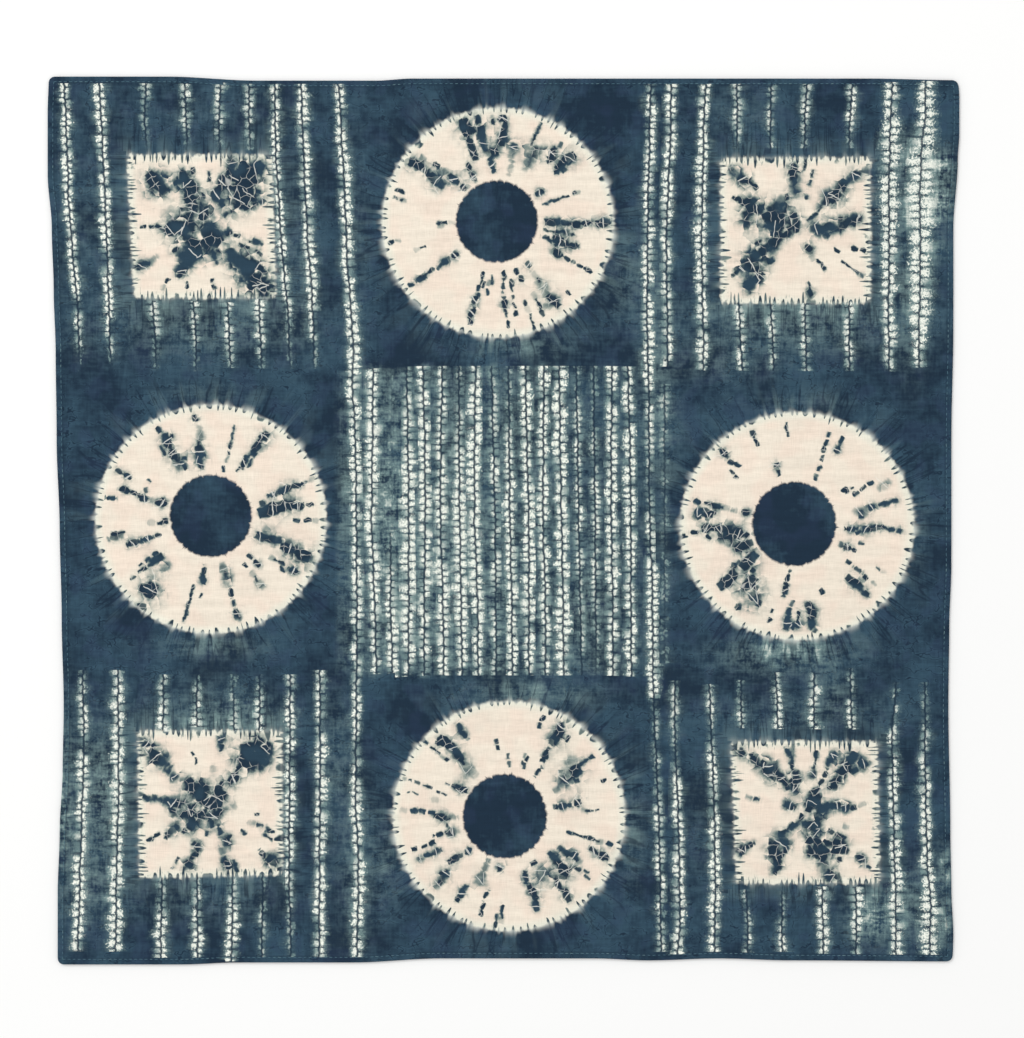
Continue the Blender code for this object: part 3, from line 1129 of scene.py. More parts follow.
class NodeSheet:
    """A node tree, and short ways to add the nodes of a formula to it."""

    def __init__(self, tree: bpy.types.NodeTree) -> None:
        """Takes the tree to draw on."""
        self.tree = tree

    def node(self, kind: str, **settings: object) -> bpy.types.Node:
        """Adds a node with its settings."""
        node = self.tree.nodes.new(kind)
        for name, value in settings.items():
            setattr(node, name, value)
        return node

    def feed(self, socket: bpy.types.NodeSocket, value: Value) -> None:
        """Links a wire to a socket, or sets the socket to a plain value."""
        if isinstance(value, Wire):
            self.tree.links.new(value.socket, socket)
        else:
            socket.default_value = value

    def fed(self, kind: str, values: Sequence[Value], **settings: object) -> bpy.types.Node:
        """Adds a node and feeds its first inputs in order.

        Args:
            kind: The node's type.
            values: A wire or plain value for each input.
            settings: The node's settings.

        Returns:
            The node.
        """
        node = self.node(kind, **settings)
        for socket, value in zip(node.inputs, values):
            self.feed(socket, value)
        return node

    def math(self, operation: str, *values: Value) -> Wire:
        """Adds a Math node."""
        return Wire(self, self.fed("ShaderNodeMath", values, operation=operation).outputs[0])

    def vector(self, operation: str, *values: Value) -> Wire:
        """Adds a Vector Math node, whose result is a value for dot products and lengths."""
        node = self.fed("ShaderNodeVectorMath", values, operation=operation)
        return Wire(self, node.outputs["Value" if operation in VALUE_OPERATIONS else "Vector"])

    def scaled(self, vector: Wire, factor: Value) -> Wire:
        """A vector times a value."""
        node = self.fed("ShaderNodeVectorMath", (vector,), operation="SCALE")
        self.feed(node.inputs["Scale"], factor)
        return Wire(self, node.outputs["Vector"])

    def join(self, x: Value, y: Value, z: Value = 0.0) -> Wire:
        """Makes a vector of three values."""
        return Wire(self, self.fed("ShaderNodeCombineXYZ", (x, y, z)).outputs[0])

    def split(self, vector: Wire) -> tuple[Wire, Wire, Wire]:
        """Takes a vector's three values apart."""
        node = self.fed("ShaderNodeSeparateXYZ", (vector,))
        x, y, z = (Wire(self, socket) for socket in node.outputs)
        return x, y, z

    def layer(self, name: str) -> Wire:
        """Reads a layer of the dye chart off the mesh."""
        node = self.node("ShaderNodeAttribute", attribute_name=name, attribute_type="GEOMETRY")
        return Wire(self, node.outputs["Vector"])

    def noise(
        self, point: Wire, size: float, detail: float = 2.0, rough: float = 0.5,
        stretch: Optional[tuple[float, float]] = None, output: int = 0,
    ) -> Wire:
        """Soft noise over the plane, 0 to 1.

        Args:
            point: The place, in millimetres.
            size: About how large its blots are.
            detail: How many finer layers it has.
            rough: How strong the finer layers are.
            stretch: What x and y are multiplied by first.
            output: 0 for one value, 1 for three.

        Returns:
            The noise.
        """
        if stretch is not None:
            point = self.vector("MULTIPLY", point, (*stretch, 1.0))
        node = self.node("ShaderNodeTexNoise", noise_dimensions="2D")
        self.feed(node.inputs["Vector"], point)
        node.inputs["Scale"].default_value = 1.0 / size
        node.inputs["Detail"].default_value = detail
        node.inputs["Roughness"].default_value = rough
        return Wire(self, node.outputs[output])

    def drift(self, point: Wire, size: float, reach: float) -> Wire:
        """A soft random shift, up to half of reach each way."""
        push = self.vector("SUBTRACT", self.noise(point, size, 1.0, output=1), (0.5, 0.5, 0.5))
        return self.vector("MULTIPLY", push, (reach, reach, 0.0))

    def dice(self, x: Value, y: Value = 0.0, z: Value = 0.0) -> tuple[Wire, Wire, Wire]:
        """Three even random values for each whole place."""
        node = self.fed("ShaderNodeTexWhiteNoise", (self.join(x, y, z),), noise_dimensions="3D")
        return self.split(Wire(self, node.outputs[1]))

    def mix(self, share: Value, first: Value, second: Value) -> Wire:
        """Mixes two colours."""
        node = self.node("ShaderNodeMix", data_type="RGBA")
        self.feed(node.inputs[0], share)
        self.feed(node.inputs[6], first)
        self.feed(node.inputs[7], second)
        return Wire(self, node.outputs[2])

    def group(self, tree: bpy.types.NodeTree, **values: Value) -> bpy.types.Node:
        """Places a node group and feeds its inputs by name.

        Args:
            tree: The group's tree.
            values: A wire or plain value for each named input.

        Returns:
            The group's node.
        """
        node = self.node("ShaderNodeGroup", node_tree=tree)
        for name, value in values.items():
            self.feed(node.inputs[name], value)
        return node

    def in_mm(self) -> Wire:
        """The place on the object, in millimetres and flat."""
        texture = self.node("ShaderNodeTexCoord")
        return self.vector("MULTIPLY", Wire(self, texture.outputs["Object"]), (1.0 / MM, 1.0 / MM, 0.0))

    def raise_surface(self, shader: bpy.types.Node, strength: float, height: Wire) -> None:
        """Lets light fall on a shader's surface as if it had a height.

        Args:
            shader: The material's shader.
            strength: How much of the height shows.
            height: The height, in millimetres.
        """
        bump = self.node("ShaderNodeBump")
        bump.inputs["Strength"].default_value = strength
        bump.inputs["Distance"].default_value = MM
        self.feed(bump.inputs["Height"], height)
        self.tree.links.new(bump.outputs["Normal"], shader.inputs["Normal"])


class NodeGroup:
    """A shader node group with named inputs and outputs."""

    def __init__(self, name: str) -> None:
        """Makes the group, empty."""
        self.tree = bpy.data.node_groups.new(name, "ShaderNodeTree")
        self.sheet = NodeSheet(self.tree)
        self.entry = self.sheet.node("NodeGroupInput")
        self.exit = self.sheet.node("NodeGroupOutput")

    def takes(self, name: str, kind: str = "NodeSocketFloat", default: Optional[float] = None) -> Wire:
        """Adds an input.

        Args:
            name: The input's name.
            kind: Its socket's type.
            default: Its value where nothing is linked.

        Returns:
            The input's wire.
        """
        item = self.tree.interface.new_socket(name, in_out="INPUT", socket_type=kind)
        if default is not None:
            item.default_value = default
        return Wire(self.sheet, self.entry.outputs[name])

    def gives(self, name: str, value: Wire, kind: str = "NodeSocketFloat") -> None:
        """Adds an output."""
        self.tree.interface.new_socket(name, in_out="OUTPUT", socket_type=kind)
        self.sheet.feed(self.exit.inputs[name], value)


def linear(red: float, green: float, blue: float) -> tuple[float, float, float, float]:
    """A screen colour, 0 to 255 a channel, as linear light.

    Args:
        red, green, blue: The channels.

    Returns:
        The four channels of the colour, with an alpha of 1.
    """
    channels = [value / 255.0 for value in (red, green, blue)]
    light = [((c + 0.055) / 1.055) ** 2.4 if c > 0.04045 else c / 12.92 for c in channels]
    return (*light, 1.0)


def new_material(
    name: str, roughness: float, specular: float
) -> tuple[bpy.types.Material, bpy.types.Node, NodeSheet]:
    """Starts a dull material.

    Args:
        name: The material's name.
        roughness: How rough it is.
        specular: How much it shines.

    Returns:
        The material, its shader and the sheet to draw its nodes on.
    """
    material = bpy.data.materials.new(name)
    material.use_nodes = True
    shader = material.node_tree.nodes["Principled BSDF"]
    shader.inputs["Roughness"].default_value = roughness
    shader.inputs["Specular IOR Level"].default_value = specular
    return material, shader, NodeSheet(material.node_tree)


def mark_group() -> bpy.types.NodeTree:
    """Builds the group that measures how far a place lies outside a straight mark.

    Returns:
        The group's tree.
    """
    group = NodeGroup("mark_distance")
    sheet = group.sheet
    place = group.takes("Place", "NodeSocketVector")
    shift = group.takes("Shift", "NodeSocketVector")
    size = group.takes("Size", "NodeSocketVector")
    along, across, taper = sheet.split(sheet.vector("ABSOLUTE", sheet.vector("ADD", place, shift)))
    half_length, half_width, tone = sheet.split(size)
    over_x, over_y = along - half_length, across + taper - half_width
    outside = sheet.vector("LENGTH", sheet.join(over_x.most(0.0), over_y.most(0.0)))
    neck = sheet.math("PINGPONG", along + 4.4, 4.4).ramp(2.2, 0.0) * half_width.ramp(4.5, 1.5)
    group.gives("Distance", outside + over_x.most(over_y).least(0.0))
    group.gives("Neck", neck)
    group.gives("Tone", tone)
    return group.tree


def thread_group() -> bpy.types.NodeTree:
    """Builds the group for a plain weave of uneven thread: its shade and its height.

    Returns:
        The group's tree.
    """
    group = NodeGroup("uneven_thread")
    sheet = group.sheet
    point = group.takes("Point", "NodeSocketVector")
    pitch = group.takes("Pitch", default=1.0)
    weft = sheet.noise(point, 1.1, 1.0, 0.6, stretch=(0.11, 1.0))
    warp = sheet.noise(point, 1.1, 1.0, 0.6, stretch=(1.0, 0.09))
    slub = sheet.noise(point, 2.2, 0.0, stretch=(0.05, 0.45))
    shade = (weft + warp) * 0.35 + slub * 0.3
    x, y, _ = sheet.split(point)
    turn = 2.0 * math.pi
    ribs = sheet.math("SINE", x / pitch * turn) * sheet.math("SINE", y / pitch * turn)
    group.gives("Shade", shade)
    group.gives("Height", ribs * 0.4)
    return group.tree


class RowMasks(NamedTuple):
    """What a stitched row draws: its dots and their brightness, its fold, cross lines and glow."""

    dots: Wire
    bright: Wire
    fold: Wire
    cross: Wire
    glow: Wire


class EdgeMasks(NamedTuple):
    """What a motif's edge draws: the pale cloth, ticks and stains, and the halo and folds outside."""

    pale: Wire
    tick: Wire
    stain: Wire
    halo: Wire
    beam: Wire
    fold: Wire
    inside: Wire
    square: Wire


@dataclass(frozen=True)
class ResistDye:
    """Indigo resist dye on undyed cloth, as one material over the whole sheet."""

    deep: tuple = linear(30, 48, 65)
    blue: tuple = linear(53, 79, 96)
    violet: tuple = linear(46, 60, 88)
    haze: tuple = linear(122, 147, 146)
    dot: tuple = linear(240, 243, 232)
    undyed: tuple = linear(239, 228, 211)
    undyed_warm: tuple = linear(239, 223, 206)
    undyed_cool: tuple = linear(232, 233, 217)
    stain: tuple = linear(132, 148, 142)
    crease: tuple = linear(242, 242, 233)
    blot: tuple = linear(33, 52, 68)
    roughness: float = 0.92
    specular: float = 0.12
    thread_pitch: float = 1.1
    relief: float = 0.6
    weave_height: float = 0.12
    rise_height: float = 0.4
    rise_reach: float = 7.5
    hem_edge: float = 6.0
    drift_size: float = 7.0
    drift_reach: float = 3.4
    tooth_pitch: float = 7.6
    disc_pitch: float = 22.0
    facet_size: float = 8.5
    wide_size: float = 60.0
    broad_size: float = 24.0
    mottle_size: float = 12.0
    soft_size: float = 4.2
    grain_size: float = 2.2

    def material(self) -> bpy.types.Material:
        """Builds the material.

        Returns:
            The material.
        """
        material, shader, sheet = new_material("resist_dyed_cloth", self.roughness, self.specular)
        DyePainter(self, sheet).dress(shader)
        return material


class DyePainter:
    """Draws the nodes of the resist dye: ground, rows, motifs, blots and creases, and the weave."""

    def __init__(self, finish: ResistDye, sheet: NodeSheet) -> None:
        """Takes the finish and reads what every part of it draws with.

        Args:
            finish: The colours and sizes.
            sheet: The sheet to draw the nodes on.
        """
        self.finish = finish
        self.sheet = sheet
        self.point = sheet.in_mm()
        self.clouds, self.from_rim, self.smudge = sheet.split(sheet.layer(Layer.GROUND.value))
        self.broad = sheet.noise(self.point, finish.broad_size, 1.0)
        self.soft = sheet.noise(self.point, finish.soft_size) - 0.5
        self.grain = sheet.noise(self.point, finish.grain_size, 2.0, 0.62)

    def dress(self, shader: bpy.types.Node) -> None:
        """Feeds the shader its colour and its relief.

        Args:
            shader: The material's shader.
        """
        sheet, finish = self.sheet, self.finish
        row = self._row()
        edge = self._motif()
        colour = self._ground(row, edge)
        colour = sheet.mix(row.dots.ramp(0.0, 0.60) * 0.85, colour, finish.haze)
        colour = sheet.mix(row.dots.ramp(0.22, 0.90) * row.bright, colour, finish.dot)
        colour = sheet.mix((row.fold * 0.85).most(row.cross * 0.70), colour, finish.deep)
        cover, crack = self._blots(edge.square)
        colour = sheet.mix(edge.pale, colour, self._undyed(cover, edge))
        unseen = edge.pale * (1.0 - cover) * 0.55
        colour = sheet.mix(crack * (1.0 - unseen), colour, finish.crease)
        threads = sheet.group(thread_group(), Point=self.point, Pitch=finish.thread_pitch)
        shade = Wire(sheet, threads.outputs["Shade"])
        colour = sheet.scaled(colour, 1.0 + (shade - 0.5) * 0.45)

        sheet.feed(shader.inputs["Base Color"], colour)
        weave = Wire(sheet, threads.outputs["Height"])
        sheet.raise_surface(shader, finish.relief, weave * finish.weave_height + self._row_rise())

    def _row_rise(self) -> Wire:
        """Height of the cloth along a stitched row: a low rise, highest at the fold.

        Returns:
            The height, in millimetres.
        """
        sheet, finish = self.sheet, self.finish
        x, y, _ = sheet.split(self.point)
        offset, slope, _ = sheet.split(sheet.layer(Layer.ROW_LINE.value))
        strength, _, _ = sheet.split(sheet.layer(Layer.ROW_DYE.value))
        return abs(x - offset - slope * y).ramp(finish.rise_reach, 1.0) * strength * finish.rise_height

    def _row(self) -> RowMasks:
        """Draws a stitched row: two staggered columns of dots, with the fold winding between them.

        Returns:
            The row's masks.
        """
        sheet, crumb, clouds = self.sheet, self.grain, self.clouds
        x, y, _ = sheet.split(self.point)
        offset, slope, number = sheet.split(sheet.layer(Layer.ROW_LINE.value))
        strength, beat, pitch = sheet.split(sheet.layer(Layer.ROW_DYE.value))
        winding = sheet.math("SINE", beat * (2.0 * math.pi)) * 0.3
        across = x - offset - slope * y + winding
        side = across.sign()
        out = abs(across)

        fade = sheet.noise(sheet.join(y, (number + side * 0.31) * 71.0), 22.0, 1.0)
        power = (strength * (0.35 + 1.4 * fade.ramp(0.22, 0.78))).held()
        beat = beat + side * 0.25 + (fade - 0.5) * 1.4
        cell = beat.floor()
        rest = abs(beat - cell - 0.5)
        first, second, _ = sheet.dice(cell, number, side)
        third, _, _ = sheet.dice((beat + 0.5).floor(), number, side + 5.0)
        wider, _, _ = sheet.dice(number, side, 9.0)

        half_wide = 0.75 + strength + (strength - 0.9).most(0.0) * 3.5 + first * (0.9 + 0.9 * strength)
        half_wide = half_wide * (0.72 + 0.5 * wider + 0.6 * clouds.held() * first)
        half_tall = (0.27 + 0.06 * power + 0.08 * second) * pitch
        from_middle = sheet.join((out - 0.45 - half_wide) / half_wide, rest * pitch / half_tall)
        close = sheet.vector("LENGTH", from_middle) + (crumb - 0.5) * 4.2
        shows = (power * 1.4 + (second - 0.5) * 0.6).ramp(0.0, 0.65)
        aura = close.ramp(2.7, 0.9) * shows * power.ramp(0.05, 0.6)
        crumbs = crumb.ramp(0.53, 0.68) * out.ramp(9.0, 2.0) * power.ramp(0.0, 0.6)

        gap = (0.5 - rest) * pitch
        cross = gap.ramp(0.75 + out * 0.12, 0.25) * out.ramp(4.0 + 11.0 * third * third, 2.0)
        streaks = sheet.noise(sheet.join(x * 0.10, y * 0.6), 1.0, 1.0)
        flare = out.ramp(6.5 + 8.0 * fade.ramp(0.42, 0.72), 1.5)
        return RowMasks(
            dots=(close.ramp(1.45, 0.35) * shows).most(crumbs * 0.75),
            bright=(2.1 * power - 0.32 + (second - 0.5) * 0.6 + clouds * 0.3 - out * 0.10).held(),
            fold=out.ramp(1.4, 0.45) * strength.ramp(0.02, 0.25),
            cross=cross * strength.ramp(0.05, 0.5),
            glow=(power * flare * (0.40 + 0.9 * streaks.ramp(0.38, 0.70))).most(aura * 0.95),
        )

    def _motif(self) -> EdgeMasks:
        """Draws a motif's scalloped edge, what shows either side of it, and its dark disc.

        Returns:
            The edge's masks.
        """
        sheet, finish = self.sheet, self.finish
        edge, along, from_disc = sheet.split(sheet.layer(Layer.OUTLINE.value))
        square = from_disc.ramp(400.0, 600.0)
        pitch = finish.tooth_pitch - 1.6 * square
        beat = along / pitch
        cell = beat.floor()
        first, second, third = sheet.dice(cell, 3.0)
        off = abs(beat - cell - 0.5 - (first - 0.5) * 0.35) * 2.0
        finger = off * (2.0 - off)
        fibre = sheet.noise(sheet.join(along * 0.5, edge * 0.12), 1.0, 2.0) - 0.5
        ragged = self.soft * 3.4
        reach = 1.6 + 2.4 * second
        border = edge + ((finger - 0.7) * reach + fibre * 3.2 + ragged) * (0.75 + 0.25 * square)

        tick_reach = 2.6 + third * third * (5.0 + 5.0 * square)
        share = edge.most(0.0) / tick_reach
        tick_half = (0.7 + 1.0 * second) * (1.0 - share * share)
        tick = (off * pitch * 0.5 + fibre * 1.2 - tick_half).ramp(0.8, -0.5)
        tick = tick * share.ramp(1.05, 0.8) * edge.ramp(-3.0, -0.5)

        disc_beat = along / finish.disc_pitch
        disc_cell = disc_beat.floor()
        fourth, fifth, _ = sheet.dice(disc_cell, 11.0)
        disc_off = abs(disc_beat - disc_cell - 0.5 - (fourth - 0.5) * 0.4) * 2.0
        rim = from_disc + (disc_off * disc_off - 0.4) * (0.4 + 0.9 * fifth) + ragged * 0.6
        spike = (disc_off * 3.9 - 0.5 + from_disc / (1.0 + 4.0 * fifth)).ramp(0.5, -0.3)
        disc = rim.ramp(1.4, -1.2).most(spike * from_disc.ramp(6.0, 2.0) * fifth)

        near = edge.ramp(-46.0 + 20.0 * square, -3.0) * edge.ramp(3.0, -1.0)
        beam = sheet.noise(sheet.join(along * 0.085, edge * 0.022), 1.0, 1.0)
        folds = sheet.noise(sheet.join(along / 11.0, edge / 140.0), 1.0, 2.0, 0.6)
        close = edge.ramp(-3.5 - 7.0 * beam.ramp(0.38, 0.66), 1.0)
        close = close * close * edge.ramp(3.0, 1.0) * (1.0 - 0.6 * square)
        return EdgeMasks(
            pale=border.ramp(-1.9, 1.1) * (1.0 - disc),
            tick=tick * (0.7 + 0.5 * first).least(1.0) * third.ramp(0.05, 0.2),
            stain=fibre.ramp(-0.06, -0.22) * edge.ramp(12.0, 0.0) * (0.15 + 0.5 * square),
            halo=close * (0.5 + 0.5 * finger),
            beam=beam.ramp(0.48 - 0.26 * square, 0.74) * near,
            fold=abs(folds - 0.5).ramp(0.030, 0.004) * edge.ramp(-52.0, -8.0) * edge.ramp(2.0, -2.0),
            inside=edge,
            square=square,
        )

    def _ground(self, row: RowMasks, edge: EdgeMasks) -> Wire:
        """Colours the dyed ground: its mottle, streaks, clouds and dark creases, with a line of painted
        shade along the hem's inner edge.

        Args:
            row: The row's masks.
            edge: The motif's masks.

        Returns:
            The ground's colour.
        """
        sheet, finish, point, grain = self.sheet, self.finish, self.point, self.grain
        wide = sheet.noise(point, finish.wide_size, 1.0, 0.55)
        mottle = sheet.noise(point, finish.mottle_size, 2.0, 0.62)
        feather = sheet.noise(point, 3.4, 2.0, 0.6, stretch=(0.14, 1.0))
        level = 0.46 + (wide - 0.5) * 2.0 + (mottle - 0.5) * 1.2 + (feather - 0.5) * 0.6
        drawn = sheet.noise(point, 2.4, 1.0, stretch=(1.0, 0.12))
        level = level + (grain - 0.5) * 0.2 + (drawn - 0.5) * 0.45
        level = level - edge.inside.ramp(12.0, 26.0) * 0.42

        worms = abs(sheet.noise(point, 1.0, 2.0, stretch=(0.05, 0.085)) - 0.5)
        open_ground = wide.ramp(0.34, 0.56) * edge.inside.ramp(10.0, 2.0)
        worm = worms.ramp(0.020, 0.004) * open_ground * edge.inside.ramp(-2.0, -18.0)
        level = level + worms.ramp(0.075, 0.02) * open_ground * 0.35 + edge.beam * 0.2
        colour = sheet.mix((level - worm * 1.1 - edge.fold * 0.75).held(), finish.deep, finish.blue)
        colour = sheet.mix(self.broad.ramp(0.50, 0.70) * 0.28, colour, finish.violet)
        flecks = grain.ramp(0.42, 0.66)
        cloudy = 4.4 * (mottle - 0.40) + 1.2 * (drawn - 0.42) + 2.2 * (feather - 0.5) + 0.6 * flecks
        cloudy = cloudy + edge.beam * 2.0
        pale = (self.clouds * cloudy).most(0.0) + row.glow * (0.45 + 0.35 * flecks)
        pale = pale + edge.beam * (0.11 + 0.15 * edge.square)
        pale = pale * (1.0 - row.cross * 0.8) * (1.0 - edge.fold * 0.6)
        colour = sheet.mix(pale.held(), colour, finish.haze)
        colour = sheet.mix(((pale - 0.85) * 0.8).most(edge.halo * 0.75).held(), colour, finish.dot)
        # Painted shade: a dark line along the hem's inner edge, where the turned hem steps down to the
        # single layer of cloth.
        hem_edge = finish.hem_edge
        hem = self.from_rim.ramp(hem_edge + 1.2, hem_edge) * self.from_rim.ramp(hem_edge - 0.8, hem_edge)
        return sheet.mix(hem * 0.5, colour, finish.deep)

    def _blots(self, square: Wire) -> tuple[Wire, Wire]:
        """Covers the motifs with dye that crept in, and finds its pale creases.

        Args:
            square: 1 in a square, 0 in a ring.

        Returns:
            How much dye covers the place, and how much of a crease runs there.
        """
        sheet, broad, soft = self.sheet, self.broad, self.soft
        group = mark_group()
        loose = sheet.drift(self.point, self.finish.drift_size, self.finish.drift_reach)
        facet, lean, border = self._facets(sheet.vector("ADD", self.point, loose))
        fuzz = broad.ramp(0.42, 0.64) * (0.3 + 0.5 * square)
        creep = self.smudge * (1.35 + (facet - 0.5) * 0.9 + lean * 1.4 + soft * 1.8)
        clear = 1.0 - creep.held()
        shade = (0.72 + 0.5 * facet).least(1.0)
        for slot in range(BLOTS_A_FACE):
            distance, tone, neck = self._mark(group, loose, Layer.BLOT, slot)
            distance = distance + neck * neck * 1.9 + soft * (0.9 + 3.4 * fuzz) - 0.35
            ink = distance.ramp(1.1 + 2.4 * fuzz + (1.0 - tone) * 3.0, -0.9 - 0.9 * fuzz)
            halo = distance.ramp(3.5 + 4.5 * fuzz, 0.0) * (0.14 + fuzz * 0.18 + soft * 0.8)
            clear = clear * (1.0 - ink.most(halo) * tone * shade)
        cover = 1.0 - clear

        crack = border.ramp(0.085, 0.010) * broad.ramp(0.54, 0.44) * cover.ramp(0.30, 0.80) * 0.5
        tight = sheet.scaled(loose, 0.65)
        for slot in range(CREASES_A_FACE):
            distance, tone, _ = self._mark(group, tight, Layer.CREASE, slot)
            crack = crack.most(distance.ramp(0.42, -0.40) * tone * 0.92)
        return cover, crack

    def _facets(self, point: Wire) -> tuple[Wire, Wire, Wire]:
        """Breaks the plane up as crumpled cloth does.

        Args:
            point: The place, in millimetres.

        Returns:
            Each facet's random value, the slant across it, and the distance from its border.
        """
        sheet, size = self.sheet, self.finish.facet_size
        cells = sheet.node("ShaderNodeTexVoronoi", voronoi_dimensions="2D", feature="F1")
        seconds = sheet.node("ShaderNodeTexVoronoi", voronoi_dimensions="2D", feature="F2")
        for node in (cells, seconds):
            sheet.feed(node.inputs["Vector"], point)
            node.inputs["Scale"].default_value = 1.0 / size
        first, second, _ = sheet.split(Wire(sheet, cells.outputs["Color"]))
        turn = second * (2.0 * math.pi)
        way = sheet.join(sheet.math("COSINE", turn), sheet.math("SINE", turn))
        away = sheet.vector("SUBTRACT", point, Wire(sheet, cells.outputs["Position"]))
        lean = sheet.vector("DOT_PRODUCT", away, way) / size
        gap = Wire(sheet, seconds.outputs["Distance"]) - Wire(sheet, cells.outputs["Distance"])
        return first, lean, gap

    def _mark(
        self, group: bpy.types.NodeTree, shift: Wire, layer: Layer, slot: int
    ) -> tuple[Wire, Wire, Wire]:
        """Measures one of the marks that a face carries.

        Args:
            group: The group that measures marks.
            shift: A soft random shift.
            layer: The kind of mark.
            slot: Which of the face's marks.

        Returns:
            The distance outside the mark, its tone, and its narrow places.
        """
        sheet = self.sheet
        name = f"{layer.value}_{slot}"
        place, size = sheet.layer(name + "_place"), sheet.layer(name + "_size")
        node = sheet.group(group, Place=place, Shift=shift, Size=size)
        distance, tone, neck = [Wire(sheet, node.outputs[name]) for name in ("Distance", "Tone", "Neck")]
        return distance, tone, neck

    def _undyed(self, cover: Wire, edge: EdgeMasks) -> Wire:
        """Colours the undyed cloth and the dye that crept into it.

        Args:
            cover: How much dye covers the place.
            edge: The motif's masks.

        Returns:
            The motif's colour.
        """
        sheet, finish, broad = self.sheet, self.finish, self.broad
        colour = sheet.mix(broad.ramp(0.35, 0.7), finish.undyed, finish.undyed_warm)
        colour = sheet.mix(edge.inside.ramp(9.0, 0.0) * 0.8, colour, finish.undyed_cool)
        dyed = cover.most(edge.tick * 0.9).most(edge.stain)
        colour = sheet.mix(dyed.ramp(0.03, 0.68), colour, finish.stain)
        ink = sheet.mix(broad.ramp(0.45, 0.65) * 0.5, finish.blot, finish.blue)
        return sheet.mix(dyed.ramp(0.42, 0.95), colour, ink)


